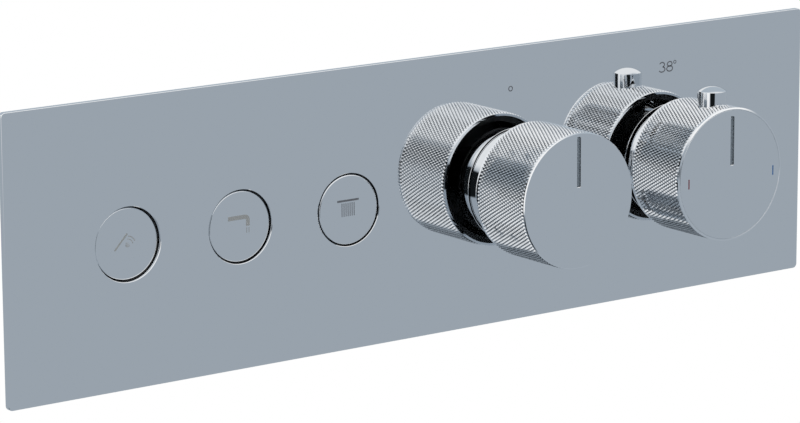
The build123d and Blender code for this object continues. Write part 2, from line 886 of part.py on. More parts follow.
# Thermostat: hot and cold water enter by two rows of windows on either side of a shuttle.
thermostat_barrel = temperature_bore - seated_fit
shuttle_bore = shuttle_radius + running_fit
with BuildPart() as thermostat_housing:
    turned(
        temperature_x,
        [
            (spindle_bore, stop_ring_height),
            (temperature_neck_radius, stop_ring_height),
            (temperature_neck_radius, nut_foot),
            (thermostat_barrel, nut_foot),
            (thermostat_barrel, barrel_foot),
            (shuttle_bore, barrel_foot),
            (shuttle_bore, -adjuster_chamber_end),
            (adjuster_radius + running_fit, -adjuster_chamber_end),
            (adjuster_radius + running_fit, -adjuster_chamber_top),
            (spindle_bore, -adjuster_chamber_top),
        ],
    )
    for near, far in water_grooves:
        ring(temperature_x, temperature_bore, water_groove_radius, -far, -near, Mode.SUBTRACT)
    for depth in window_centres:
        spoke_holes(temperature_x, depth, window_radius, temperature_bore, windows)
    for depth in thermostat_seal_depths:
        seal_groove(temperature_x, temperature_bore, depth)
finish(thermostat_housing, "thermostat_housing")

with BuildPart() as thermostat_nut:
    ring_nut(temperature_x, thermostat_barrel, temperature_neck_radius + seated_fit)
finish(thermostat_nut, "thermostat_nut")

with BuildPart() as thermostat_o_rings:
    for depth in thermostat_seal_depths:
        o_ring(temperature_x, temperature_bore, depth)
finish(thermostat_o_rings, "thermostat_o_rings")

with BuildPart() as cold_seat_ring:
    seat_top = -cartridge_floor + cold_seat_length
    ring(temperature_x, shuttle_bore - seated_fit, cold_seat_bore, -cartridge_floor, seat_top)
finish(cold_seat_ring, "cold_seat_ring")

# The shuttle carries the wax element through its web and is pushed back by a spring.
shuttle_inner = shuttle_radius - shuttle_wall
web_foot = -shuttle_web_depth - shuttle_web
with BuildPart() as mixing_shuttle:
    ring(temperature_x, shuttle_radius, shuttle_inner, -shuttle_top - shuttle_length, -shuttle_top)
    slug(temperature_x, shuttle_inner, web_foot, -shuttle_web_depth)
    slug(temperature_x, element_radius, web_foot, -shuttle_web_depth, Mode.SUBTRACT)
    with BuildSketch(level(web_foot, temperature_x)) as holes:
        with PolarLocations((element_flange_radius + shuttle_inner) / 2, windows):
            Circle(shuttle_hole_radius)
    extrude(holes.sketch, amount=shuttle_web, mode=Mode.SUBTRACT)
finish(mixing_shuttle, "mixing_shuttle")

with BuildPart() as return_spring:
    outer = shuttle_inner - spring_clearance
    ring(temperature_x, outer, outer - return_spring_wire, seat_top, web_foot)
finish(return_spring, "thermostat_return_spring")

collar_foot = -adjuster_chamber_top - free_gap - spindle_collar
adjuster_top = collar_foot - shuttle_travel - free_gap
adjuster_foot = adjuster_top - adjuster_length
thread_end = adjuster_foot + adjuster_floor + shuttle_travel + free_gap
thread_bore = spindle_thread_radius + running_fit
with BuildPart() as wax_element:
    slug(temperature_x, element_radius, -element_top - element_length, -element_top)
    flange_top = -shuttle_web_depth + shuttle_web
    slug(temperature_x, element_flange_radius, -shuttle_web_depth, flange_top)
    slug(temperature_x, piston_radius, -element_top, adjuster_foot)
finish(wax_element, "wax_element")

with BuildPart() as adjuster_nut:
    slug(temperature_x, adjuster_radius, adjuster_foot, adjuster_top)
    slug(temperature_x, thread_bore, adjuster_foot + adjuster_floor, adjuster_top, Mode.SUBTRACT)
finish(adjuster_nut, "adjuster_nut")

# The temperature knob has a bevelled face ring, a cap over its screw and a safety button on top.
temperature_face = plate_front + temperature_face_height
temperature_rim = plate_front + temperature_rim_height
temperature_ceiling = temperature_face - knob_face_thickness
temperature_insert_foot = temperature_rim + insert_recess
temperature_hub_foot = temperature_insert_foot + hub_recess
temperature_web_foot = temperature_ceiling - insert_thick_web
bore_end = temperature_ceiling - blind_bore_cover
screw_seat = temperature_ceiling - knob_screw_recess
cap_seat = knob_radius - bevel_width - cap_land
cap_foot = temperature_face - cap_thickness
safety_axis = plate_front + safety_height
safety_bore = safety_radius + seated_fit
screw_bore = knob_screw_radius + running_fit
spindle_top = bore_end - spindle_end_gap
with BuildPart() as temperature_spindle:
    turned(
        temperature_x,
        [
            (0, thread_end),
            (spindle_thread_radius, thread_end),
            (spindle_thread_radius, collar_foot),
            (spindle_collar_radius, collar_foot),
            (spindle_collar_radius, collar_foot + spindle_collar),
            (spindle_radius, collar_foot + spindle_collar),
            (spindle_radius, spindle_top),
            (0, spindle_top),
        ],
    )
    hole_end = screw_seat - knob_screw_length - free_gap
    slug(temperature_x, screw_bore, hole_end, spindle_top, Mode.SUBTRACT)
finish(temperature_spindle, "temperature_spindle")

with BuildPart() as temperature_knob_shell:
    turned(
        temperature_x,
        [
            (cap_seat, temperature_face),
            (knob_radius - bevel_width, temperature_face),
            (knob_radius, temperature_face - bevel_height),
            (knob_radius, temperature_rim + knob_edge),
            (knob_radius - knob_edge, temperature_rim),
            (knob_bore, temperature_rim),
            (knob_bore, temperature_ceiling),
            (cap_seat - cap_shelf, temperature_ceiling),
            (cap_seat - cap_shelf, cap_foot),
            (cap_seat, cap_foot),
        ],
    )
    upright(temperature_x, -safety_axis, safety_bore, skirt_bore, knob_radius, Mode.SUBTRACT)
finish(temperature_knob_shell, "temperature_knob_shell")

with BuildPart() as temperature_knob_cap:
    slug(temperature_x, cap_seat - cap_seam, cap_foot, temperature_face)
    indicator_groove(temperature_x, temperature_face)
finish(temperature_knob_cap, "temperature_knob_cap")

arm_foot = temperature_insert_foot + tongue_inset + 2 * tongue_thickness
arm_end = safety_flange_foot - tongue_thickness
pocket_radius = safety_flange_radius + seated_fit
with BuildPart() as temperature_knob_insert:
    turned(
        temperature_x,
        [
            (0, bore_end),
            (spindle_bore, bore_end),
            (spindle_bore, temperature_hub_foot),
            (hub_radius, temperature_hub_foot),
            (hub_radius, temperature_web_foot),
            (skirt_bore, temperature_web_foot),
            (skirt_bore, temperature_insert_foot),
            (insert_radius, temperature_insert_foot),
            (insert_radius, temperature_ceiling),
            (knob_screw_head_radius + free_gap, temperature_ceiling),
            (knob_screw_head_radius + free_gap, screw_seat),
            (0, screw_seat),
        ],
    )
    slug(temperature_x, screw_bore, bore_end, screw_seat, Mode.SUBTRACT)
    upright(temperature_x, -safety_axis, pocket_radius, pocket_floor, knob_radius, Mode.SUBTRACT)
    stem_bore = safety_stem_radius + running_fit
    stem_end = safety_stem_end - safety_travel - free_gap
    upright(temperature_x, -safety_axis, stem_bore, stem_end, pocket_floor, Mode.SUBTRACT)
    block(
        temperature_x,
        tongue_width + 2 * free_gap,
        arm_end - safety_travel - free_gap,
        safety_flange_foot + free_gap,
        temperature_web_foot,
        safety_axis,
        Mode.SUBTRACT,
    )
finish(temperature_knob_insert, "temperature_knob_insert")

with BuildPart() as knob_screw:
    slug(temperature_x, knob_screw_radius, screw_seat - knob_screw_length, screw_seat)
    head_top = screw_seat + knob_screw_head_height
    slug(temperature_x, knob_screw_head_radius, screw_seat, head_top)
    with BuildSketch(level(head_top, temperature_x)) as key_socket:
        RegularPolygon(knob_screw_radius, 6)
    extrude(key_socket.sketch, amount=-screw_socket_depth, mode=Mode.SUBTRACT)
finish(knob_screw, "temperature_knob_screw")

# The safety button slides in the insert and holds a tongue over the temperature stop.
flange_top = safety_flange_foot + safety_flange_thickness
shoulder = knob_radius + safety_shoulder
with BuildPart() as safety_button:
    with BuildSketch(level(safety_axis, temperature_x)) as profile:
        with BuildLine():
            Polyline(
                (0, shoulder + safety_dome),
                (0, safety_stem_end),
                (safety_stem_radius, safety_stem_end),
                (safety_stem_radius, safety_flange_foot),
                (safety_flange_radius, safety_flange_foot),
                (safety_flange_radius, flange_top),
                (safety_radius, flange_top),
                (safety_radius, shoulder),
            )
            ball = (safety_radius**2 + safety_dome**2) / (2 * safety_dome)
            RadiusArc((safety_radius, shoulder), (0, shoulder + safety_dome), -ball)
        make_face()
    upright_axis = Axis((temperature_x, -safety_axis, 0), (0, 0, 1))
    revolve(profile.sketch, axis=upright_axis)
    spring_outer = safety_stem_radius + free_gap + safety_spring_wire
    arm_top = safety_axis - spring_outer - running_fit
    block(temperature_x, tongue_width, arm_end, safety_flange_foot, arm_foot, arm_top)
    bar_foot = arm_foot - tongue_thickness
    block(temperature_x, tongue_width, tongue_tip_radius, safety_flange_foot, bar_foot, arm_foot)
    tip_top = tongue_tip_radius + tongue_thickness
    tip_foot = bar_foot - tongue_thickness
    block(temperature_x, tongue_width, tongue_tip_radius, tip_top, tip_foot, bar_foot)
finish(safety_button, "safety_button")

with BuildPart() as safety_spring:
    turned_upright(
        temperature_x,
        -safety_axis,
        [
            (safety_stem_radius + free_gap, pocket_floor),
            (spring_outer, pocket_floor),
            (spring_outer, safety_flange_foot),
            (safety_stem_radius + free_gap, safety_flange_foot),
        ],
    )
finish(safety_spring, "safety_spring")

with BuildPart() as temperature_stop_ring:
    inner = temperature_neck_radius + seated_fit
    ring(temperature_x, stop_ring_radius, inner, 0, stop_ring_height)
    with BuildSketch(level(stop_ring_height, temperature_x)) as finger:
        middle = tongue_tip_radius + stop_finger_width / 2
        with PolarLocations(middle, 1, start_angle=90 + stop_finger_angle):
            Rectangle(stop_finger_width, stop_finger_width)
    extrude(finger.sketch, amount=tip_foot - free_gap - stop_ring_height)
finish(temperature_stop_ring, "temperature_stop_ring")

# Each inlet port has a strainer and a check valve that only lets water in.
port_end = -port_reach + port_length
check_radius = check_bore - seated_fit
check_inner = check_radius - check_wall
check_end = port_end + check_length
seat_end = port_end + check_seat
bridge_foot = seat_end + check_bridge_height
with BuildPart() as inlet_strainers:
    for x, depth in inlets.values():
        upright(x, depth, strainer_radius - seated_fit, port_end - strainer_thickness, port_end)
        for hole_ring in range(1, strainer_rings + 1):
            with BuildSketch(Plane.XY.offset(port_end)) as holes:
                with Locations((x, depth)):
                    with PolarLocations(hole_ring * strainer_hole_pitch, 6 * hole_ring):
                        Circle(strainer_hole_radius)
            extrude(holes.sketch, amount=-strainer_thickness, mode=Mode.SUBTRACT)
finish(inlet_strainers, "inlet_strainers")

with BuildPart() as check_valve_housings:
    for x, depth in inlets.values():
        turned_upright(
            x,
            depth,
            [
                (check_seat_bore, port_end),
                (check_radius, port_end),
                (check_radius, check_end),
                (check_inner, check_end),
                (check_inner, seat_end),
                (check_seat_bore, seat_end),
            ],
        )
        block(
            x,
            check_bridge,
            bridge_foot,
            bridge_foot + check_bridge,
            -depth - check_inner,
            -depth + check_inner,
        )
        ring_radius = poppet_stem_radius + running_fit + check_bridge / 2
        upright(x, depth, ring_radius, bridge_foot, bridge_foot + check_bridge)
        stem_bore = poppet_stem_radius + running_fit
        upright(x, depth, stem_bore, bridge_foot, bridge_foot + check_bridge, Mode.SUBTRACT)
finish(check_valve_housings, "check_valve_housings")

for name, (x, depth) in inlets.items():
    disc_end = seat_end + running_fit + poppet_thickness
    with BuildPart() as poppet:
        turned_upright(
            x,
            depth,
            [
                (0, seat_end + running_fit),
                (poppet_radius, seat_end + running_fit),
                (poppet_radius, disc_end),
                (poppet_stem_radius, disc_end),
                (poppet_stem_radius, disc_end + poppet_stem_length),
                (0, disc_end + poppet_stem_length),
            ],
        )
    finish(poppet, f"{name}_check_poppet")

    with BuildPart() as check_spring:
        inner = poppet_stem_radius + free_gap
        turned_upright(
            x,
            depth,
            [
                (inner, disc_end),
                (inner + check_spring_wire, disc_end),
                (inner + check_spring_wire, bridge_foot),
                (inner, bridge_foot),
            ],
        )
    finish(check_spring, f"{name}_check_spring")
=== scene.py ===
# %% [markdown]
# # A concealed bath and shower mixer in mirror chrome
# A long polished plate closes a recess in a bathroom wall. Three round push buttons open the
# outlets, and two diamond-knurled knobs set the flow and the temperature. The solids come from
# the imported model, and this lesson gives them their finishes and the detail that solids leave out.

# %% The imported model
import json
from math import pi, radians

import bmesh
import bpy
import numpy as np
from mathutils import Matrix


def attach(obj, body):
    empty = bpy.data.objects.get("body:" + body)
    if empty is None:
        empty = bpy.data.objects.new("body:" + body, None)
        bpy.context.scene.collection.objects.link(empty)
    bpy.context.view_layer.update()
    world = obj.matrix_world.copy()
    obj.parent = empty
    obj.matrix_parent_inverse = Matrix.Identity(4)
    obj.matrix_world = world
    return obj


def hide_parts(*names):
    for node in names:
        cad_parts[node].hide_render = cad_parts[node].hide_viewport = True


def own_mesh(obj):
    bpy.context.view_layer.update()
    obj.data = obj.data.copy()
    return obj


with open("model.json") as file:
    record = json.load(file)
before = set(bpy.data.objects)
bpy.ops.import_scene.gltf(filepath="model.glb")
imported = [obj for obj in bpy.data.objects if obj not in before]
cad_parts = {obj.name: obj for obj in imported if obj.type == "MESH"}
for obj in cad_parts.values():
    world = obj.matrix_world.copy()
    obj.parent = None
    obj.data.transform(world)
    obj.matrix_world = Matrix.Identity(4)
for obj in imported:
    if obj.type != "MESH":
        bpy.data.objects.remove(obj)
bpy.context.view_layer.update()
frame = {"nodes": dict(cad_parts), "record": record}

scene = bpy.context.scene

# %% [markdown]
# ## Sizes
# The sizes are those of the solids, in millimetres, apart from the plate's corners and the crowns
# of the buttons, which follow the photograph. A height is a distance in front of the finished
# wall, so it counts towards the room, and the Y coordinate is its negative. A break is the small
# radius or bevel of a polished edge.

# %% Sizes of the visible parts
mm = 0.001
plate_width, plate_height, plate_back, plate_front = 350.0, 101.0, 1.5, 3.5
plate_corner, plate_edge = 1.7, 0.4
button_x = {"hand_shower": -127.0, "bath_spout": -81.5, "overhead_shower": -36.0}
button_crown = {"hand_shower": 2.2, "bath_spout": 2.75, "overhead_shower": 3.35}
button_radius, button_hole, button_skirt, button_break = 12.45, 13.0, -4.5, 0.5
button_wall, button_thickness = 1.5, 2.0
stem_radius, stem_bore, stem_foot = 4.55, 2.55, -3.0
flow_x, temperature_x = 37.0, 110.0
knob_radius, knob_bore, knob_foot_radius = 24.75, 23.5, 24.3
flow_face, flow_rim, flow_disc_radius, flow_disc = 41.2, 12.9, 24.22, 3.9
temperature_face, temperature_rim = 38.5, 10.8
temperature_disc_radius, temperature_disc = 23.92, 3.1
sleeve_radius, sleeve_bore, sleeve_foot, sleeve_break = 20.0, 18.5, -16.0, 0.35
sleeves = {"flow_sleeve": (flow_x, 10.2, 20.25), "temperature_sleeve": (temperature_x, 6.0, 20.8)}
safety_height, safety_radius = 27.8, 5.35
print("plate", plate_width, "x", plate_height, "mm, knobs", 2 * knob_radius, "mm across")

# %% [markdown]
# ## Colours
# Colours are written as the hex values that a paint program shows. Shaders work in linear
# light, so one function turns a hex value into linear numbers.


# %% From hex to linear light
def linear(colour):
    """A hex colour in linear light: c / 12.92 when dark, else ((c + 0.055) / 1.055) ** 2.4."""
    parts = np.array([int(colour[i : i + 2], 16) for i in (1, 3, 5)]) / 255
    lit = np.where(parts <= 0.04045, parts / 12.92, ((parts + 0.055) / 1.055) ** 2.4)
    return (*lit, 1.0)


print("mid grey #808080 is", round(linear("#808080")[0], 3), "in linear light")

# %% [markdown]
# ## Materials
# Every finish starts from what the real one is and how its surface was made. A small function
# adds one node with its settings and its links, and a second one starts a Principled surface.


# %% Building blocks for node trees
def node(tree, kind, settings=None, into=None, **links):
    """Add one node and return its outputs. Settings are its properties, its sockets' own values or a
    ramp's stops. Links feed its sockets, and its first output feeds the socket called into. A name
    that starts with an underscore is a socket's number."""
    made = tree.nodes.new(kind)
    for name, value in (settings or {}).items():
        if name == "stops":
            for stop, (at, colour) in zip(made.color_ramp.elements, value):
                stop.position, stop.color = at, linear(colour)
        elif name[0] == "_":
            made.inputs[int(name[1:])].default_value = value
        elif name in made.inputs:
            made.inputs[name].default_value = value
        else:
            setattr(made, name, value)
    for name, source in links.items():
        tree.links.new(source, made.inputs[int(name[1:]) if name[0] == "_" else name])
    if into:
        tree.links.new(made.outputs[0], into)
    return made.outputs


def principled(name, colour, roughness, metallic=0.0):
    """Start a material from one Principled surface; return it, its tree and the surface's inputs."""
    made = bpy.data.materials.new(name)
    made.use_nodes = True
    surface = made.node_tree.nodes["Principled BSDF"].inputs
    surface["Base Color"].default_value = linear(colour)
    surface["Roughness"].default_value = roughness
    surface["Metallic"].default_value = metallic
    made.diffuse_color = linear(colour)
    return made, made.node_tree, surface


# %% [markdown]
# ### Chrome
# The plate, knobs, sleeves and caps are brass, buffed to a mirror and plated with bright nickel
# and a trace of chromium. That gives the eye a clean cool mirror with a little softness from the
# buff, in patches of about 9 mm. Clean bright plating mirrors most of its room, so the base is
# a very pale cool grey and the roughness is close to nothing.

# %% Mirror-polished chrome plate
chrome, tree, surface = principled("mirror_polished_chrome", "#EDEFF1", 0.03, 1.0)
place = node(tree, "ShaderNodeTexCoord")["Object"]
buffing = node(tree, "ShaderNodeTexNoise", {"Scale": 1 / (9 * mm), "Detail": 3.0}, Vector=place)
softness = {"To Min": 0.015, "To Max": 0.04}
node(tree, "ShaderNodeMapRange", softness, surface["Roughness"], Value=buffing["Fac"])
print(chrome.name, "varies over patches of 9 mm")

# %% [markdown]
# A knurl is plated after it is rolled. Its colour is painted darker down in the grooves, as
# painted shade where the little pyramids shade each other. The material reads an attribute called
# tip, which is 1 on the tips and 0 in the grooves, and turns it into that colour.

# %% Chrome over a rolled knurl
knurl_chrome, tree, surface = principled("knurled_chrome", "#DCE1E6", 0.05, 1.0)
place = node(tree, "ShaderNodeTexCoord")["Object"]
plating = node(tree, "ShaderNodeTexNoise", {"Scale": 1 / (1.5 * mm), "Detail": 4.0}, Vector=place)
softness = {"To Min": 0.03, "To Max": 0.07}
node(tree, "ShaderNodeMapRange", softness, surface["Roughness"], Value=plating["Fac"])
tip = node(tree, "ShaderNodeAttribute", {"attribute_name": "tip"})
# Painted shade: the base colour is dark grey down in the grooves and pale chrome on the tips
stops = {"stops": ((0.05, "#6C747B"), (0.42, "#F2F4F6"))}
node(tree, "ShaderNodeValToRGB", stops, surface["Base Color"], Fac=tip["Fac"])
print(knurl_chrome.name, "is bright on its tips only")

# %% [markdown]
# ### Marks and satin metals
# The pictures on the buttons and the figures on the plate are etched through a stencil, which
# leaves the plating a fine matt grey with a grain of 0.15 mm. The screws are stainless and the
# springs are drawn wire, both with a fine satin grain. The thermostat's wax capsule is drawn
# copper. On all of them only the gloss varies.

# %% Metals that vary in gloss
metals = {}
for name, colour, roughness, metallic, grain_size, low, high in (
    ("etched_grey", "#85868A", 0.5, 0.9, 0.15, 0.45, 0.7),
    ("faint_warm_etch", "#C6C4BF", 0.45, 0.95, 0.15, 0.4, 0.6),
    ("stainless_steel", "#B9BABB", 0.22, 1.0, 0.3, 0.22, 0.36),
    ("drawn_spring_wire", "#9A9B9C", 0.22, 1.0, 0.4, 0.22, 0.40),
    ("drawn_copper", "#C27B57", 0.24, 1.0, 2.0, 0.24, 0.36),
):
    metals[name], tree, surface = principled(name, colour, roughness, metallic)
    place = node(tree, "ShaderNodeTexCoord")["Object"]
    grain = node(tree, "ShaderNodeTexNoise", {"Scale": 1 / (grain_size * mm)}, Vector=place)
    softness = {"To Min": low, "To Max": high}
    node(tree, "ShaderNodeMapRange", softness, surface["Roughness"], Value=grain["Fac"])
print("metals:", *metals)

# %% [markdown]
# ### Enamels, rubber, acetal and alumina
# The indicator lines are grooves filled with dark enamel, and the hot and cold ticks are red and
# blue enamel that pooled unevenly. Seals are black nitrile rubber with a faint bloom, the valve
# parts are white acetal with flow marks, and the discs of the flow cartridge are lapped alumina.
# On all of them only the colour varies, in patches given in millimetres.

# %% Materials that vary in colour
cloudy = {}
for name, roughness, patch, dark, light in (
    ("dark_enamel", 0.35, 0.7, "#5A636B", "#6A737B"),
    ("red_enamel", 0.30, 0.7, "#5C1F29", "#6E2B36"),
    ("blue_enamel", 0.30, 0.7, "#1F4A77", "#2C5A8A"),
    ("nitrile_rubber", 0.60, 3.0, "#151515", "#222222"),
    ("moulded_acetal", 0.40, 4.0, "#C2C3C3", "#D2D3D3"),
    ("lapped_alumina", 0.18, 0.3, "#E2DED5", "#EAE6DF"),
):
    cloudy[name], tree, surface = principled(name, dark, roughness)
    place = node(tree, "ShaderNodeTexCoord")["Object"]
    clouds = node(tree, "ShaderNodeTexNoise", {"Scale": 1 / (patch * mm)}, Vector=place)
    stops = {"stops": ((0.35, dark), (0.65, light))}
    node(tree, "ShaderNodeValToRGB", stops, surface["Base Color"], Fac=clouds["Fac"])
print("cloudy materials:", *cloudy)

# %% [markdown]
# ### Brass
# The valve body is sand-cast and shot-blasted, so it is a matt yellow with a grain of about
# half a millimetre and cloudy patches of 14 mm. The cartridges are turned from bar and keep
# rings about their axis.

# %% Cast brass
cast_brass, tree, surface = principled("shot_blasted_cast_brass", "#B8965A", 0.5, 1.0)
place = node(tree, "ShaderNodeTexCoord")["Object"]
grain = node(tree, "ShaderNodeTexNoise", {"Scale": 1 / (0.5 * mm), "Detail": 6.0}, Vector=place)
clouds = node(tree, "ShaderNodeTexNoise", {"Scale": 1 / (14 * mm), "Detail": 4.0}, Vector=place)
stops = {"stops": ((0.35, "#A98850"), (0.65, "#C6A568"))}
node(tree, "ShaderNodeValToRGB", stops, surface["Base Color"], Fac=clouds["Fac"])
softness = {"To Min": 0.42, "To Max": 0.6}
node(tree, "ShaderNodeMapRange", softness, surface["Roughness"], Value=clouds["Fac"])
node(tree, "ShaderNodeBump", {"Distance": 0.12 * mm}, surface["Normal"], Height=grain["Fac"])
print(cast_brass.name, "has a grain of 0.5 mm")

# %% Turned brass
# A wave texture has 20 / (2 pi) bands to a unit at scale 1, so these rings stand 2 pi x 0.3 mm, or
# 1.9 mm, apart along the axis: coarser than real tool marks, so that they show
turned_brass, tree, surface = principled("turned_brass", "#CFAE6C", 0.25, 1.0)
place = node(tree, "ShaderNodeTexCoord")["Object"]
bands = {"wave_type": "BANDS", "bands_direction": "Y", "Distortion": 0.4}
bands["Scale"] = 1 / (0.3 * mm) / 20
rings = node(tree, "ShaderNodeTexWave", bands, Vector=place)
softness = {"To Min": 0.18, "To Max": 0.34}
node(tree, "ShaderNodeMapRange", softness, surface["Roughness"], Value=rings["Fac"])
node(tree, "ShaderNodeBump", {"Distance": 0.01 * mm}, surface["Normal"], Height=rings["Fac"])
print(turned_brass.name, "has rings 1.9 mm apart")

# %% [markdown]
# ### Zinc-plated steel
# The frame and bracket are zinc-plated sheet with the crystal flowers of a hot dip, about 5 mm
# across.

# %% Zinc-plated sheet
zinc_steel, tree, surface = principled("zinc_plated_sheet", "#B4B9BD", 0.4, 1.0)
place = node(tree, "ShaderNodeTexCoord")["Object"]
flowers = node(tree, "ShaderNodeTexVoronoi", {"Scale": 1 / (5 * mm)}, Vector=place)
stops = {"stops": ((0.2, "#A9AFB4"), (0.8, "#C0C5C8"))}
node(tree, "ShaderNodeValToRGB", stops, surface["Base Color"], Fac=flowers["Distance"])
softness = {"To Min": 0.3, "To Max": 0.5}
node(tree, "ShaderNodeMapRange", softness, surface["Roughness"], Value=flowers["Distance"])
print(zinc_steel.name, "has flowers of 5 mm")

# %% [markdown]
# ### Black plastic and foam
# The knob inserts and button guides are black ABS with a fine spark-eroded texture, and the
# gasket is closed-cell foam.

# %% Black ABS
black_plastic, tree, surface = principled("spark_textured_black_abs", "#141516", 0.42)
place = node(tree, "ShaderNodeTexCoord")["Object"]
sparks = node(tree, "ShaderNodeTexNoise", {"Scale": 1 / (0.25 * mm)}, Vector=place)
softness = {"To Min": 0.36, "To Max": 0.5}
node(tree, "ShaderNodeMapRange", softness, surface["Roughness"], Value=sparks["Fac"])
node(tree, "ShaderNodeBump", {"Distance": 0.02 * mm}, surface["Normal"], Height=sparks["Fac"])
print(black_plastic.name, "has pits of 0.25 mm")

# %% Closed-cell foam
foam, tree, surface = principled("closed_cell_foam", "#232425", 0.95)
place = node(tree, "ShaderNodeTexCoord")["Object"]
cells = node(tree, "ShaderNodeTexVoronoi", {"Scale": 1 / (0.6 * mm)}, Vector=place)
stops = {"stops": ((0.0, "#161616"), (0.7, "#2C2D2E"))}
node(tree, "ShaderNodeValToRGB", stops, surface["Base Color"], Fac=cells["Distance"])
node(tree, "ShaderNodeBump", {"Distance": 0.15 * mm}, surface["Normal"], Height=cells["Distance"])
print(foam.name, "has cells of 0.6 mm")

# %% [markdown]
# ## From arrays to pieces
# Each new shape is an array of points. The functions here turn a grid of points into faces,
# make sure that they point outwards and hand the piece to the body that it moves with.


# %% Faces of a grid, and a piece from points and faces
def layers(rows, x=0.0):
    """An array of rows of (x, -height, z), from rows of (points in (x, z), height), moved by x."""
    return np.stack([np.column_stack([x + p[:, 0], np.full(len(p), -h), p[:, 1]]) for p, h in rows])


def grid_faces(rows, columns, first=0):
    """Quads between neighbouring rows; the last column joins the first one."""
    i, j = np.meshgrid(np.arange(rows - 1), np.arange(columns), indexing="ij")
    k = (j + 1) % columns
    below, above = i * columns, (i + 1) * columns
    return np.stack([below + j, below + k, above + k, above + j], -1).reshape(-1, 4) + first


def close_ends(points):
    """Close a tube by a row at each end whose points all lie in the middle of the end's own row."""
    ends = points[[0, -1]].mean(1, keepdims=True).repeat(points.shape[1], 1)
    return np.concatenate([ends[:1], points, ends[1:]])


def signed_volume(points, faces):
    """Volume inside the faces: the sum over triangles of a . (b x c) / 6; below 0 if inside out."""
    total = 0.0
    for k in range(1, faces.shape[1] - 1):
        a, b, c = points[faces[:, 0]], points[faces[:, k]], points[faces[:, k + 1]]
        total += np.einsum("ij,ij->i", a, np.cross(b, c)).sum() / 6
    return total


def add_object(name, data):
    """Make an object of a mesh, lamp or camera and put it in the scene."""
    made = bpy.data.objects.new(name, data)
    scene.collection.objects.link(made)
    return made


def piece(name, points, faces, material, body, replaces=(), crease=30.0, smooth=True):
    """Make one object of points in mm, point its faces outwards and let it ride on a body."""
    points = np.asarray(points, float).reshape(-1, 3)
    if signed_volume(points, faces) < 0:
        faces = faces[:, ::-1]
    mesh = bpy.data.meshes.new(name)
    mesh.from_pydata((points * mm).tolist(), [], faces.tolist())
    mesh.validate()
    made = add_object(name, mesh)
    weld(mesh)
    if smooth:
        shade(mesh, crease)
    mesh.materials.append(material)
    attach(made, body)
    if replaces:
        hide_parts(*replaces)
    print(f"{name}: {len(mesh.vertices)} points, {len(mesh.polygons)} faces")
    return made


def weld(mesh):
    """Join the points that fall on each other, such as those of a pole or seam, within 0.1 micron."""
    work = bmesh.new()
    work.from_mesh(mesh)
    bmesh.ops.remove_doubles(work, verts=work.verts, dist=0.0001 * mm)
    work.to_mesh(mesh)
    work.free()


def shade(mesh, crease):
    """Smooth shading with creases; faces square to Y, such as the plate's, stay exactly flat."""
    mesh.set_sharp_from_angle(angle=radians(crease))
    normals = np.empty(3 * len(mesh.polygons))
    mesh.polygons.foreach_get("normal", normals)
    mesh.polygons.foreach_set("use_smooth", np.abs(normals[1::3]) < 0.99999)


# %% [markdown]
# A turned part is a closed outline of radius and height, carried round an axis. Real edges are
# never razor sharp, so a helper rounds the corners of the outline, and each corner then catches
# a thin line of light.


# %% Turned parts
def rounded(outline, steps=4):
    """Round each (radius, height, r) corner by an arc of that r, tangent to both edges."""
    corners = np.array([c if len(c) == 3 else (*c, 0.0) for c in outline], float)
    done = []
    for before, (x, y, r), after in zip(np.roll(corners, 1, 0), corners, np.roll(corners, -1, 0)):
        here = np.array([x, y])
        if r == 0:
            done.append(here)
            continue
        a = (before[:2] - here) / np.linalg.norm(before[:2] - here)
        b = (after[:2] - here) / np.linalg.norm(after[:2] - here)
        half = np.arccos(np.clip(a @ b, -1, 1)) / 2
        middle = here + (a + b) / np.linalg.norm(a + b) * r / np.sin(half)
        start, end = here + a * r / np.tan(half), here + b * r / np.tan(half)
        for t in np.linspace(0, 1, steps + 1):
            ray = (1 - t) * (start - middle) + t * (end - middle)
            done.append(middle + ray / np.linalg.norm(ray) * r)
    return np.array(done)


def turn(outline, x, around=180, upright_y=None):
    """Points (x + r cos a, -height, r sin a), or with upright_y (x + r cos a, y + r sin a, height)."""
    r, h = outline[:, :1], outline[:, 1:]
    a = np.arange(around) * 2 * pi / around
    if upright_y is None:
        grid = (x + r * np.cos(a), -h + 0 * a, r * np.sin(a))
    else:
        grid = (x + r * np.cos(a), upright_y + r * np.sin(a), h + 0 * a)
    return np.stack(np.broadcast_arrays(*grid), -1)


def turned_piece(name, outline, x, material, body, replaces=(), around=180, upright_y=None):
    """A piece from a closed outline; the last row joins the first one."""
    points = turn(rounded(outline), x, around, upright_y)
    points = np.concatenate([points, points[:1]])
    return piece(name, points, grid_faces(*points.shape[:2]), material, body, replaces)


# %% [markdown]
# ## The face plate
# The plate is a 2 mm sheet with eased edges and five openings. Its mesh is made from
# loops, so that each opening is a true circle with a bright, slightly rounded edge.


# %% The plate
def loops_to_solid(outer, holes, low, high, edge):
    """A sheet with eased front edges: each loop's wall, from the back up to a rounded front edge."""
    points, walls, caps = [], [], {"front": [], "back": []}
    total = 0
    for loop, inward in [(outer, 1)] + [(hole, -1) for hole in holes]:
        count = len(loop)
        ahead, behind = np.roll(loop, -1, 0), np.roll(loop, 1, 0)
        along = ahead - behind
        normal = np.stack([-along[:, 1], along[:, 0]], -1) / np.linalg.norm(along, axis=1)[:, None]
        rows = [(0.0, low), (0.0, high - edge)]
        for t in (pi / 6, pi / 3, pi / 2):
            rows.append((edge * (1 - np.cos(t)), high - edge * (1 - np.sin(t))))
        points.append(layers([(loop + normal * shift * inward, height) for shift, height in rows]))
        walls.append(grid_faces(len(rows), count, total))
        caps["back"].append(np.arange(total, total + count))
        caps["front"].append(np.arange(total + (len(rows) - 1) * count, total + len(rows) * count))
        total += len(rows) * count
    return np.concatenate([p.reshape(-1, 3) for p in points]), np.concatenate(walls), caps


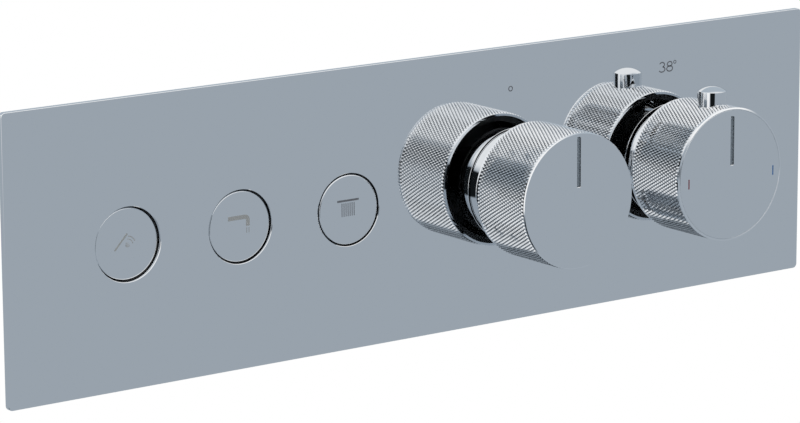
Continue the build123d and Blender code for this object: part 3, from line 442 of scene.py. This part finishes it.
def circle(x, radius, count=180):
    """Points (x + r cos a, r sin a), evenly spaced and anticlockwise."""
    a = np.arange(count) * 2 * pi / count
    return np.column_stack([x + radius * np.cos(a), radius * np.sin(a)])


def rounded_rectangle(width, height, radius, steps=12):
    """Anticlockwise loop of four quarter circles, joined by straight edges."""
    a = np.linspace(0, pi / 2, steps)
    quarters = []
    for quarter, (sx, sz) in enumerate([(1, 1), (-1, 1), (-1, -1), (1, -1)]):
        turn_by = a + quarter * pi / 2
        x, z = sx * (width / 2 - radius), sz * (height / 2 - radius)
        quarters.append(np.column_stack([x + radius * np.cos(turn_by), z + radius * np.sin(turn_by)]))
    return np.concatenate(quarters)


holes = [circle(x, button_hole) for x in button_x.values()]
holes += [circle(x, opening) for x, top, opening in sleeves.values()]
outline = rounded_rectangle(plate_width, plate_height, plate_corner)
points, walls, caps = loops_to_solid(outline, holes, plate_back, plate_front, plate_edge)
work = bmesh.new()
verts = [work.verts.new(p) for p in (points * mm).tolist()]
for face in walls.tolist():
    work.faces.new([verts[k] for k in face])
work.edges.ensure_lookup_table()
for loops in caps.values():
    edges = []
    for loop in loops:
        for a, b in zip(loop, np.roll(loop, -1)):
            ends = (verts[a], verts[b])
            edges.append(work.edges.get(ends) or work.edges.new(ends))
    bmesh.ops.triangle_fill(work, use_beauty=True, edges=edges)
bmesh.ops.recalc_face_normals(work, faces=work.faces)
mesh = bpy.data.meshes.new("polished_plate")
work.to_mesh(mesh)
work.free()
plate_crease = 25
shade(mesh, plate_crease)
polished_plate = add_object("polished_plate", mesh)
mesh.materials.append(chrome)
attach(polished_plate, "mixer_body")
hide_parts("face_plate")
print("polished_plate:", len(mesh.polygons), "faces")

# %% [markdown]
# ## Sleeves and button caps
# Each knob stands on a short chrome sleeve, and each push button is a thin turned cap with a
# softly broken edge. The photograph shows a wide black gap to the right of a button and none to
# its left, so the caps rest a little below the plate's face, each at a height of its own.

# %% Turned chrome
for name, (x, top, opening) in sleeves.items():
    outline = [
        (sleeve_radius, sleeve_foot),
        (sleeve_radius, top, sleeve_break),
        (sleeve_bore, top, sleeve_break),
        (sleeve_bore, sleeve_foot),
    ]
    turned_piece(f"{name}_polished", outline, x, chrome, "mixer_body", [name], around=240)
for name, x in button_x.items():
    crown, ceiling = button_crown[name], button_crown[name] - button_thickness
    outline = [
        (0, crown),
        (button_radius, crown, button_break),
        (button_radius, button_skirt),
        (button_radius - button_wall, button_skirt),
        (button_radius - button_wall, ceiling),
        (stem_radius, ceiling),
        (stem_radius, stem_foot),
        (stem_bore, stem_foot),
        (stem_bore, ceiling),
        (0, ceiling),
    ]
    turned_piece(f"{name}_cap", outline, x, chrome, f"{name}_button", [f"{name}_button"])

# %% [markdown]
# ## The knurl
# A pair of knurling wheels rolls two crossing families of V grooves into the knob, at 30 degrees
# to its axis and 1.12 mm apart. What stays between them is a field of tiny pyramids, 1.3 mm
# wide and 2.25 mm long. On a grid with one point per half pitch, every second point is a tip
# and every other one a groove crossing, like a chess board. Splitting each cell along its two
# groove points makes the grooves run straight.


# %% Knurled shells
pitch_around, pitch_up, knurl_depth, knurl_margin = 120, 2.25, 0.55, 0.5
knurl_crease = 12.0


def knurled_shell(name, x, rim, top_rows, inner_rows, knurl_top, material, body, replaces):
    """Knurled ring: radius is full where row + column is even and cut back where it is odd."""
    columns = 2 * pitch_around
    rows = int(round((knurl_top - rim - knurl_margin) / (pitch_up / 2)))
    heights = np.linspace(rim + knurl_margin, knurl_top, rows + 1)
    a = np.arange(columns) * 2 * pi / columns
    i, j = np.meshgrid(np.arange(rows + 1), np.arange(columns), indexing="ij")
    inside = (i > 0) & (i < rows)
    radius = knob_radius - knurl_depth * (((i + j) % 2 == 1) | ~inside)
    band = np.stack([x + radius * np.cos(a), -heights[:, None] + 0 * radius, radius * np.sin(a)], -1)
    closing = turn(np.array(list(top_rows) + list(inner_rows), float), x, columns)
    points = np.concatenate([band, closing, band[:1]])
    quads = grid_faces(*points.shape[:2])
    knurled = quads[: rows * columns].reshape(rows, columns, 4)
    odd = ((np.arange(rows)[:, None] + np.arange(columns)) % 2 == 1)[..., None]
    # A cell's corners run (row, column), (row, column + 1), (row + 1, column + 1), (row + 1, column)
    first = np.where(odd, knurled[..., [0, 1, 2]], knurled[..., [0, 1, 3]])
    second = np.where(odd, knurled[..., [0, 2, 3]], knurled[..., [1, 2, 3]])
    triangles = np.concatenate([first.reshape(-1, 3), second.reshape(-1, 3)])
    rest = quads[rows * columns :]
    faces = np.concatenate([triangles, rest[:, [0, 1, 2]], rest[:, [0, 2, 3]]])
    return piece(name, points, faces, material, body, replaces, knurl_crease)


# Rows (radius, height) above the knurl to the face, then down the pocket and bore to the rim
flow_knurl_top, temperature_knurl_top = flow_face - 0.6, temperature_face - 1.0
flow_top = [(24.5, flow_face - 0.55), (24.5, flow_face - 0.42), (flow_disc_radius, flow_face)]
flow_inner = [
    (flow_disc_radius, flow_face - flow_disc),
    (knob_bore, flow_face - flow_disc),
    (knob_bore, flow_rim),
    (knob_foot_radius, flow_rim),
]
flow_shell = knurled_shell(
    "flow_knob_knurl", flow_x, flow_rim, flow_top, flow_inner, flow_knurl_top, knurl_chrome,
    "flow_knob", ["flow_knob_shell"],
)
temperature_top = [
    (24.72, temperature_face - 0.94),
    (24.72, temperature_face - 0.32),
    (24.15, temperature_face),
]
pocket_mouth, pocket_radius, pocket_step, pocket_floor = 24.0, 23.95, 19.05, 4.0
temperature_inner = [
    (pocket_mouth, temperature_face),
    (pocket_radius, temperature_face - 0.06),
    (pocket_radius, temperature_face - temperature_disc),
    (pocket_step, temperature_face - temperature_disc),
    (pocket_step, temperature_face - pocket_floor),
    (knob_bore, temperature_face - pocket_floor),
    (knob_bore, temperature_rim),
    (knob_foot_radius, temperature_rim),
]
temperature_shell = knurled_shell(
    "temperature_knob_knurl", temperature_x, temperature_rim, temperature_top, temperature_inner,
    temperature_knurl_top, knurl_chrome, "temperature_knob", ["temperature_knob_shell"],
)

# %% [markdown]
# The flow knob's grub screw is reached through a hole underneath, and the temperature knob's
# safety button comes out of a hole on top. A Boolean modifier drills both, and its result is
# kept in the mesh.


# %% Holes in the knurled shells
def drill(target, x, height, radius, z_from, z_to):
    """Cut an upright round hole through a piece and keep the result."""
    outline = [(0, z_from), (radius, z_from), (radius, z_to), (0, z_to)]
    bit = turned_piece("drill_bit", outline, x, chrome, "mixer_body", around=96, upright_y=-height)
    cut = target.modifiers.new("hole", "BOOLEAN")
    cut.operation, cut.object, cut.solver = "DIFFERENCE", bit, "EXACT"
    depsgraph = bpy.context.evaluated_depsgraph_get()
    mesh = bpy.data.meshes.new_from_object(target.evaluated_get(depsgraph))
    target.modifiers.remove(cut)
    target.data = mesh
    shade(mesh, knurl_crease)
    bpy.data.objects.remove(bit)
    print(target.name, "drilled:", len(mesh.polygons), "faces")


def mark_tips(target, x, rim, knurl_top, inset=0.1):
    """How far each point is up its pyramid: (radius - groove radius) / depth, and 1 off the knurl."""
    mesh = target.data
    points = np.empty(3 * len(mesh.vertices), np.float32)
    mesh.vertices.foreach_get("co", points)
    points = points.reshape(-1, 3) / mm
    radius = np.hypot(points[:, 0] - x, points[:, 2])
    up = np.clip((radius - knob_radius + knurl_depth) / knurl_depth, 0, 1)
    off_knurl = (-points[:, 1] < rim + knurl_margin + inset) | (-points[:, 1] > knurl_top - inset)
    up[off_knurl | (radius < knob_radius - knurl_depth - inset)] = 1
    # The tip value is the mask of the painted shade in knurled_chrome: low values darken the grooves
    mesh.attributes.new("tip", "FLOAT", "POINT").data.foreach_set("value", up.astype(np.float32))
    print(target.name, "has", int((up == 1).sum()), "bright points of", len(up))


# The grub screw stands halfway between the foot and the web of the insert's hub
hub_foot, hub_web, grub_access, safety_gap = 16.1, 30.2, 1.8, 0.1
grub_height = (hub_foot + hub_web) / 2
drill(flow_shell, flow_x, grub_height, grub_access, z_from=-26.0, z_to=-22.0)
access = safety_radius + safety_gap
drill(temperature_shell, temperature_x, safety_height, access, z_from=22.0, z_to=26.0)
mark_tips(flow_shell, flow_x, flow_rim, flow_knurl_top)
mark_tips(temperature_shell, temperature_x, temperature_rim, temperature_knurl_top)

# %% [markdown]
# ## Knob faces with an indicator groove
# Each face is a polished disc with one upright groove, milled with nearly square ends. Seen from
# the middle of the groove, every direction meets the groove's edge once and the disc's rim once,
# so the flat face is a fan between those two points.


# %% The grooved discs
groove_width, groove_depth, groove_corner, groove_taper = 1.45, 0.8, 0.3, 0.1
lip_length, lip_width, lip_depth = 0.3, 0.24, 0.12
enamel_gap, enamel_thickness = 0.16, 0.3


def groove_edge(angles, length, width):
    """Where a ray at an angle from +Z leaves a rectangle with rounded corners, from its middle."""
    s, c = np.abs(np.sin(angles)), np.abs(np.cos(angles))
    half, end, q = width / 2, length / 2, groove_corner
    side, tip = half / np.maximum(s, 1e-9), end / np.maximum(c, 1e-9)
    towards = (half - q) * s + (end - q) * c
    bend = towards + np.sqrt(np.maximum(towards**2 - (half - q) ** 2 - (end - q) ** 2 + q**2, 0))
    reach = np.where(side * c <= end - q, side, np.where(tip * s <= half - q, tip, bend))
    return np.column_stack([reach * np.sin(angles), reach * np.cos(angles)])


def fan_angles():
    """Directions every degree, and closer together where the ends of the groove are."""
    near = np.linspace(-radians(6), radians(6), 61)
    angles = np.concatenate([np.arange(360) * pi / 180, near % (2 * pi), near + pi])
    return np.unique(np.round(angles, 9))


def grooved_disc(name, x, radius, face, thickness, rim_break, aside, low, high, body, replaces=()):
    """Rows from the back's middle, round the rim, over the face and into the groove's middle."""
    a = fan_angles()
    heart = np.array([aside, (low + high) / 2])
    lip = groove_edge(a, high - low + lip_length, groove_width + lip_width) + heart
    slot = groove_edge(a, high - low, groove_width) + heart
    ray = np.column_stack([np.sin(a), np.cos(a)])
    inward = ray @ heart
    rim = heart + ray * (np.sqrt(inward**2 - heart @ heart + radius**2) - inward)[:, None]
    floor = groove_edge(a, high - low - groove_taper, groove_width - groove_taper) + heart
    centre = np.tile(heart, (len(a), 1))
    rows = [
        (centre, face - thickness),
        (rim, face - thickness),
        (rim, face - rim_break),
        (rim * (1 - rim_break / radius), face),
        (lip, face),
        (slot, face - lip_depth),
        (floor, face - groove_depth),
        (centre, face - groove_depth),
    ]
    points = layers(rows, x)
    return piece(name, points, grid_faces(*points.shape[:2]), chrome, body, replaces)


def filled_slot(name, x, face, aside, low, high, body):
    """Dark enamel in the groove: a thin slab with the groove's shape, on the groove's floor."""
    a = fan_angles()
    heart = np.array([aside, (low + high) / 2])
    edge = groove_edge(a, high - low - enamel_gap, groove_width - enamel_gap) + heart
    centre = np.tile(heart, (len(a), 1))
    bottom, top = face - groove_depth, face - groove_depth + enamel_thickness
    rows = [(centre, bottom), (edge, bottom), (edge, top), (centre, top)]
    points = layers(rows, x)
    return piece(name, points, grid_faces(*points.shape[:2]), cloudy["dark_enamel"], body)


# A groove stands aside of its knob's axis by the first number, and runs from the second to the third
flow_groove, temperature_groove = (0.0, 5.0, 23.1), (0.8, 3.4, 21.5)
flow_break, temperature_break = 0.01, 0.06
grooved_disc(
    "flow_knob_face", flow_x, flow_disc_radius, flow_face, flow_disc, flow_break, *flow_groove,
    "flow_knob",
)
filled_slot("flow_indicator", flow_x, flow_face, *flow_groove, "flow_knob")
grooved_disc(
    "temperature_knob_face", temperature_x, temperature_disc_radius, temperature_face, temperature_disc,
    temperature_break, *temperature_groove, "temperature_knob", ["temperature_knob_cap"],
)
filled_slot(
    "temperature_indicator", temperature_x, temperature_face, *temperature_groove, "temperature_knob"
)

# %% [markdown]
# ## The safety button
# It is turned with a shallow dome: an arc of about 9 mm radius that meets the straight side at a
# crisp, polished shoulder. The stem and the tongue below stay hidden in the knob.

# %% Domed head, stem and tongue
shoulder, apex, shoulder_break = 29.6, 31.4, 0.25
flange_foot, flange_top, flange_radius = 20.2, 22.4, 5.75
pin_radius, pin_foot = 2.0, 11.5
ball = (safety_radius**2 + (apex - shoulder) ** 2) / (2 * (apex - shoulder))
lift = np.linspace(0, np.arcsin(safety_radius / ball), 9)
dome = [(ball * np.sin(t), apex - ball * (1 - np.cos(t))) for t in lift]
outline = dome[:-1] + [
    (safety_radius, shoulder, shoulder_break),
    (safety_radius, flange_top),
    (flange_radius, flange_top),
    (flange_radius, flange_foot),
    (pin_radius, flange_foot),
    (pin_radius, pin_foot),
    (0, pin_foot),
]
turned_piece(
    "safety_button_head", outline, temperature_x, chrome, "safety_button", ["safety_button"],
    around=120, upright_y=-safety_height,
)


def bars(name, boxes, material, body):
    """Square bars in one piece, each from its lowest to its highest (x, height, z)."""
    corner = np.array([(x, y, z) for z in (0, 1) for x, y in ((0, 0), (1, 0), (1, 1), (0, 1))])
    sides = np.array([[0, 1, 2, 3], [4, 7, 6, 5], [0, 4, 5, 1], [1, 5, 6, 2], [2, 6, 7, 3], [3, 7, 4, 0]])
    points, faces = [], []
    for k, (low, high) in enumerate(np.array(boxes, float)):
        box = low + corner * (high - low)
        points.append(np.column_stack([box[:, 0], -box[:, 1], box[:, 2]]))
        faces.append(sides + 8 * k)
    return piece(name, np.concatenate(points), np.concatenate(faces), material, body, smooth=False)


# The tongue steps down towards the stop in three bars
tongue = [
    ((108, 17.0, 18.2), (112, 23.1, 20.2)),
    ((108, 15.0, 15.2), (112, 17.0, 20.2)),
    ((108, 13.0, 15.2), (112, 15.0, 17.2)),
]
bars("safety_tongue", tongue, chrome, "safety_button")

# %% [markdown]
# ## Etched marks
# A mark is a ribbon carried along a path: a narrow flat strip, a few hundredths of a millimetre
# proud of the face it lies on. Letters and pictures need only lines and arcs.


# %% Ribbons along a path
def arc(x, z, rx, rz, start, end, steps=24):
    """Points (x + rx cos a, z + rz sin a) between two angles in degrees."""
    a = np.radians(np.linspace(start, end, steps))
    return np.column_stack([x + rx * np.cos(a), z + rz * np.sin(a)])


def line(start, end, width):
    """A straight stroke between two points (x, z)."""
    return np.array([start, end]), width, False


def ribbon(path, width, height, thickness=0.03, closed=False):
    """Points and faces of a flat strip: the path pushed to both sides by half its width."""
    path = np.asarray(path, float)
    if closed:
        path = path[:-1]
        along = np.roll(path, -1, 0) - np.roll(path, 1, 0)
    else:
        along = np.gradient(path, axis=0)
    side = np.column_stack([-along[:, 1], along[:, 0]]) / np.linalg.norm(along, axis=1)[:, None]
    rows = [
        (path + side * width / 2, height),
        (path + side * width / 2, height + thickness),
        (path - side * width / 2, height + thickness),
        (path - side * width / 2, height),
    ]
    points = layers(rows).transpose(1, 0, 2)
    points = np.concatenate([points, points[:1]]) if closed else close_ends(points)
    return points.reshape(-1, 3), grid_faces(len(points), 4)


def mark(name, strokes, height, material, body):
    """One piece from several strokes, each a path, a width and whether it closes."""
    points, faces, total = [], [], 0
    for path, width, closed in strokes:
        p, f = ribbon(path, width, height, closed=closed)
        points.append(p)
        faces.append(f + total)
        total += len(p)
    return piece(name, np.concatenate(points), np.concatenate(faces), material, body, smooth=False)


# %% Figures on the plate, ticks on the knob and pictures on the buttons
stroke, upper_bowl, lower_bowl = 0.44, 36.1, 34.35
three_x, eight_x, degree_x = 106.4, 110.1, 112.6
three_top = arc(three_x, upper_bowl, 1.2, 0.88, 155, -75)
three_foot = arc(three_x, lower_bowl, 1.42, 0.98, 75, -155)
thirty_eight = [
    (np.concatenate([three_top, three_foot]), stroke, False),
    (arc(eight_x, upper_bowl, 1.15, 0.86, 0, 360), stroke, True),
    (arc(eight_x, lower_bowl, 1.42, 0.98, 0, 360), stroke, True),
    (arc(degree_x, 36.6, 0.58, 0.58, 0, 360), 0.3, True),
]
mark("mark_thirty_eight_degrees", thirty_eight, plate_front, metals["etched_grey"], "mixer_body")
off_ring = [(arc(35.6, 35.1, 0.85, 0.85, 0, 360), 0.36, True)]
mark("mark_off", off_ring, plate_front, metals["etched_grey"], "mixer_body")
hot_tick = [line((90.3, -3.1), (90.3, 0.5), 0.52)]
cold_tick = [line((130.7, -2.75), (130.7, 0.85), 0.52)]
mark("mark_hot", hot_tick, temperature_face, cloudy["red_enamel"], "temperature_knob")
mark("mark_cold", cold_tick, temperature_face, cloudy["blue_enamel"], "temperature_knob")

# The hand shower is a slanting handle with two arcs for its head and four dashes of spray
faint = metals["faint_warm_etch"]
hand_shower = [
    line((-131.7, -1.9), (-126.6, 3.5), 0.62),
    (arc(-126.6, -0.6, 3.2, 3.2, 84, 22, 12), 0.34, False),
    (arc(-126.6, -0.6, 2.2, 2.2, 88, 10, 10), 0.26, False),
]
for lean in np.radians((78, 58, 38, 18)):
    start, end = ((-127.4 + r * np.cos(lean), -1.4 + r * np.sin(lean)) for r in (0.6, 2.0))
    hand_shower.append(line(start, end, 0.2))
mark("picture_hand_shower", hand_shower, button_crown["hand_shower"], faint, "hand_shower_button")
# The bath spout is one broad bent stroke with two drops below its mouth
elbow = arc(-79.2, 1.95, 1.15, 1.15, 80, 0, 8)
bend = np.concatenate([[[-86.2, 3.1], [-79.2, 3.1]], elbow, [[-78.05, -0.2]]])
spout = [(bend, 1.5, False)]
spout += [line((x, -0.7), (x, -2.6), 0.24) for x in (-78.55, -77.6)]
mark("picture_bath_spout", spout, button_crown["bath_spout"], faint, "bath_spout_button")
# The overhead shower is a bar with seven jets
rose = [line((-40.8, 3.35), (-31.6, 3.35), 0.72)]
rose += [line((x, 2.5), (x, -2.3), 0.3) for x in np.linspace(-38.8, -33.6, 7)]
crown = button_crown["overhead_shower"]
mark("picture_overhead_shower", rose, crown, metals["etched_grey"], "overhead_shower_button")

# %% [markdown]
# ## Springs
# Hidden springs push the buttons, the thermostat's shuttle and the check valves back. Each is a
# round wire carried along a helix, whose first and last turns lie flat, as on a real spring with
# closed ends.


# %% Helical springs
def coil(name, x, y, low, high, mean_radius, wire_radius, turns, body, cad, upright=True):
    """Wire centre: radius m, angle 2 pi n t, height eased so that both end turns lie flat."""
    t = np.linspace(0, 1, int(turns * 36))
    a = 2 * pi * turns * t
    closed, climb = 0.9, 1.1 * wire_radius
    rise = np.clip((t - closed / turns) / (1 - 2 * closed / turns), 0, 1)
    pile = (np.minimum(t * turns, closed) + np.maximum(t * turns - turns + closed, 0)) / closed
    first, last = low + wire_radius, high - wire_radius
    height = first + (last - first - 2 * climb) * rise + climb * pile
    s = np.arange(8) * 2 * pi / 8
    r = mean_radius + wire_radius * np.cos(s)[None, :]
    h = height[:, None] + wire_radius * np.sin(s)[None, :]
    across, other = x + r * np.cos(a)[:, None], r * np.sin(a)[:, None]
    points = np.stack([across, y + other, h] if upright else [across, -h, other], -1)
    points = close_ends(points)
    faces, wire = grid_faces(*points.shape[:2]), metals["drawn_spring_wire"]
    return piece(name, points, faces, wire, body, [cad], crease=60)


for name, x in button_x.items():
    made = coil(
        f"{name}_coil", x, 0, low=-38.0, high=-16.3, mean_radius=7.3, wire_radius=1.0, turns=6.5,
        body="mixer_body", cad=f"{name}_spring", upright=False,
    )
    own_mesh(made)
made = coil(
    "safety_coil", temperature_x, -safety_height, low=12.6, high=20.2, mean_radius=3.4, wire_radius=0.45,
    turns=6, body="temperature_knob", cad="safety_spring",
)
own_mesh(made)
made = coil(
    "return_coil", temperature_x, 0, low=-43.0, high=-35.0, mean_radius=8.2, wire_radius=0.7, turns=5,
    body="mixer_body", cad="thermostat_return_spring", upright=False,
)
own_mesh(made)
for name, x, y in (("hot", 78.0, 28.0), ("cold", 142.0, 40.0)):
    made = coil(
        f"{name}_check_coil", x, y, low=-28.45, high=-20.0, mean_radius=2.2, wire_radius=0.3, turns=7,
        body="mixer_body", cad=f"{name}_check_spring",
    )
    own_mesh(made)

# %% [markdown]
# ## The other solids
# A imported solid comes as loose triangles, which look faceted when they are shiny. So each one
# gets a copy whose points are joined, with smooth shading across gentle angles and creases at
# sharp ones, and the copy stands for the solid.

# %% Finishes for the solids
finishes = {
    cast_brass: ["valve_body"],
    turned_brass: [
        "valve_housings", "flow_housing", "flow_nut", "flow_spindle", "thermostat_housing",
        "thermostat_nut", "temperature_spindle", "adjuster_nut",
        *[f"{name}_plunger" for name in button_x],
    ],
    zinc_steel: ["mounting_frame", "wall_bracket"],
    metals["stainless_steel"]: [
        "plate_studs", "frame_screws", "bracket_screws", "flow_grub_screw", "temperature_knob_screw",
        "inlet_strainers",
    ],
    black_plastic: ["snap_sockets", "button_guides", "flow_knob_insert", "temperature_knob_insert"],
    cloudy["nitrile_rubber"]: [
        "sleeve_seals", "valve_o_rings", "plunger_seals", "flow_o_rings", "flow_seat_seal",
        "thermostat_o_rings", "cold_seat_ring", *[f"{name}_valve_disc" for name in button_x],
    ],
    foam: ["plate_gasket"],
    cloudy["lapped_alumina"]: ["flow_fixed_disc", "flow_moving_disc"],
    cloudy["moulded_acetal"]: [
        "mixing_shuttle", "temperature_stop_ring", "check_valve_housings", "hot_check_poppet",
        "cold_check_poppet",
    ],
    metals["drawn_copper"]: ["wax_element"],
}
bodies = frame["record"]["behaviour"]["bodies"]
body_of_node = {member: body for body, members in bodies.items() for member in members}
solid_crease = 28
for material, members in finishes.items():
    for member in members:
        mesh = frame["nodes"][member].data.copy()
        mesh.name = f"{member}_smooth"
        weld(mesh)
        shade(mesh, solid_crease)
        mesh.materials.clear()
        mesh.materials.append(material)
        copy = add_object(f"{member}_smooth", mesh)
        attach(copy, body_of_node[member])
        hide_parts(member)
    print(material.name, "on", len(members), "solids")

# %% [markdown]
# The face, the tongue and the etched marks are all the same plating.

# %% [markdown]
# ## Studio
# The product stands in a white studio. Polished metal shows its surroundings, so the room
# matters more than the lamps: white overhead, a pale blue-grey room in front and low down, and
# a few dark places, such as where the camera stands, that draw the dark stripes in the chrome.


# %% Floor
def empty_tree(owner):
    """Start the node tree of a stage material, or of the world, with nothing in it."""
    owner.use_nodes = True
    owner.node_tree.nodes.clear()
    return owner.node_tree


# The eye sees the floor as white, but for a tenth of grey paint, and the chrome doesn't see it
floor_z, floor_reach, white_share = -420.0, 9000.0, 0.9
mesh = bpy.data.meshes.new("studio_floor")
square = ((-1, -1), (1, -1), (1, 1), (-1, 1))
corners = [(floor_reach * x, floor_reach * y, floor_z) for x, y in square]
mesh.from_pydata((np.array(corners) * mm).tolist(), [], [(0, 1, 2, 3)])
floor = add_object("studio_floor", mesh)
paint = bpy.data.materials.new("pale_studio_floor")
tree = empty_tree(paint)
seen = node(tree, "ShaderNodeLightPath")
plain = node(tree, "ShaderNodeBsdfDiffuse", {"Color": linear("#E9EAEB")})
white = node(tree, "ShaderNodeEmission", {"Color": (1, 1, 1, 1)})
clear = node(tree, "ShaderNodeBsdfTransparent")
larger = {"operation": "MAXIMUM"}
direct = node(tree, "ShaderNodeMath", larger, _0=seen["Is Camera Ray"], _1=seen["Is Transmission Ray"])
weak = node(tree, "ShaderNodeMath", {"operation": "MULTIPLY", "_1": white_share}, _0=direct[0])
first = node(tree, "ShaderNodeMixShader", _0=weak[0], _1=plain[0], _2=white[0])
second = node(tree, "ShaderNodeMixShader", _0=seen["Is Glossy Ray"], _1=first[0], _2=clear[0])
node(tree, "ShaderNodeOutputMaterial", Surface=second[0])
mesh.materials.append(paint)
print("floor", -floor_z, "mm below the plate's middle")

# %% [markdown]
# The real mixer is fitted in a wall, and its plate hides the brass body behind it. So a white
# wall panel, with the fitter's opening in it, stands where the finished wall is. It is drawn for
# the eye in the room only: from behind it isn't there, and it casts and mirrors nothing.

# %% Wall panel with the fitter's opening
wall_reach, opening = 1500.0, (172.0, 48.0)
ring_in = [(opening[0] * x, opening[1] * z) for x, z in square]
ring_out = [(wall_reach * x, wall_reach if z > 0 else floor_z) for x, z in square]
mesh = bpy.data.meshes.new("studio_wall")
around_opening = [(k, (k + 1) % 4, 4 + (k + 1) % 4, 4 + k) for k in range(4)]
mesh.from_pydata([(x * mm, 0.0, z * mm) for x, z in ring_out + ring_in], [], around_opening)
wall = add_object("studio_wall", mesh)
plaster = bpy.data.materials.new("white_wall_plaster")
tree = empty_tree(plaster)
seen = node(tree, "ShaderNodeLightPath")["Is Camera Ray"]
behind = node(tree, "ShaderNodeNewGeometry")["Backfacing"]
front = node(tree, "ShaderNodeMath", {"operation": "SUBTRACT"}, _0=seen, _1=behind)
clear = node(tree, "ShaderNodeBsdfTransparent")
white = node(tree, "ShaderNodeEmission", {"Color": (1, 1, 1, 1)})
shown = node(tree, "ShaderNodeMixShader", _0=front[0], _1=clear[0], _2=white[0])
node(tree, "ShaderNodeOutputMaterial", Surface=shown[0])
mesh.materials.append(plaster)
print("opening", 2 * opening[0], "x", 2 * opening[1], "mm")

# %% The room that the chrome sees
world = bpy.data.worlds.new("studio_room")
scene.world = world
tree = empty_tree(world)
seen = node(tree, "ShaderNodeLightPath")
direction = node(tree, "ShaderNodeTexCoord")["Generated"]
# Each patch of the room: its direction, the cosines where it starts and is full, and its colour
patches = [
    ((0.0, 0.0, 1.0), 0.25, 0.45, "#FFFFFF"),
    ((0.35, 0.75, 0.55), 0.50, 0.80, "#B2BDC7"),
    ((-0.90, -0.08, 0.30), 0.76, 0.86, "#FFFFFF"),
    ((-0.70, 0.10, -0.70), 0.82, 0.93, "#343A3F"),
    ((-0.60, -0.80, -0.02), 0.936, 0.952, "#15181A"),
]
colour = node(tree, "ShaderNodeRGB")[0]
colour.default_value = linear("#A4ADB6")
for towards, start, end, tone in patches:
    dot = {"operation": "DOT_PRODUCT", "_1": np.array(towards) / np.linalg.norm(towards)}
    facing = node(tree, "ShaderNodeVectorMath", dot, _0=direction)
    edge = {"From Min": start, "From Max": end, "interpolation_type": "SMOOTHSTEP"}
    share = node(tree, "ShaderNodeMapRange", edge, Value=facing["Value"])
    blend = {"data_type": "RGBA", "_7": linear(tone)}
    colour = node(tree, "ShaderNodeMix", blend, _0=share[0], _6=colour)[2]
mirror = node(tree, "ShaderNodeBackground", Color=colour)
bare = node(tree, "ShaderNodeBackground", {"Color": (1, 1, 1, 1)})
ambient = node(tree, "ShaderNodeBackground", {"Color": linear("#F4F6F8"), "Strength": 0.5})
shown = node(tree, "ShaderNodeMath", larger, _0=seen["Is Camera Ray"], _1=seen["Is Transmission Ray"])
first = node(tree, "ShaderNodeMixShader", _0=shown[0], _1=ambient[0], _2=bare[0])
second = node(tree, "ShaderNodeMixShader", _0=seen["Is Glossy Ray"], _1=first[0], _2=mirror[0])
node(tree, "ShaderNodeOutputWorld", Surface=second[0])
print("room with", len(patches), "patches of light and dark")


# %% Lamps
def softbox(name, place, aim, width, height, watts):
    """An area lamp that faces a point; place and aim are in millimetres."""
    lamp = bpy.data.lights.new(name, "AREA")
    lamp.shape, lamp.size, lamp.size_y, lamp.energy = "RECTANGLE", width * mm, height * mm, watts
    made = add_object(name, lamp)
    back = np.array(place, float) - np.array(aim, float)
    back /= np.linalg.norm(back)
    right = np.cross([0, 0, 1], back)
    right /= np.linalg.norm(right)
    up = np.cross(back, right)
    matrix = np.eye(4)
    matrix[:3] = np.column_stack([right, up, back, np.array(place) * mm])
    made.matrix_world = Matrix(matrix.tolist())
    made.visible_glossy = False
    print(name, "at", place)


softbox("key_softbox", (-900, -900, 1500), (0, 0, 0), width=1200, height=900, watts=26)
softbox("fill_softbox", (1300, -1200, 900), (0, 0, 0), width=900, height=900, watts=10)
softbox("back_softbox", (0, 1400, 1100), (0, 60, 0), width=1400, height=700, watts=12)

# %% [markdown]
# ## Camera
# The camera was found by fitting the plate's edges, the button rings and the knobs' rims to the
# photograph. It is a long lens, about a metre and a third away, to the left and a little above.

# %% Camera at the photograph's angle
right = np.array([0.8080933, -0.5890333, -0.0049937])
down = np.array([-0.1290109, -0.1687053, -0.9771871])
forward = np.array([0.5747533, 0.7903027, -0.2123214])
eye = np.array([-789.54, -1070.15, 283.01]) * mm
focal_pixels, picture_width, sensor = 3811.59, 800, 36.0
matrix = np.eye(4)
matrix[:3] = np.column_stack([right, -down, -forward, eye])
lens = bpy.data.cameras.new("photo_camera")
lens.sensor_width, lens.clip_start = sensor, 0.01
lens.lens = focal_pixels / picture_width * sensor
camera = add_object("photo_camera", lens)
camera.matrix_world = Matrix(matrix.tolist())
scene.camera = camera
scene.view_settings.view_transform = "Standard"
print("lens", round(lens.lens, 1), "mm on a", sensor, "mm sensor")
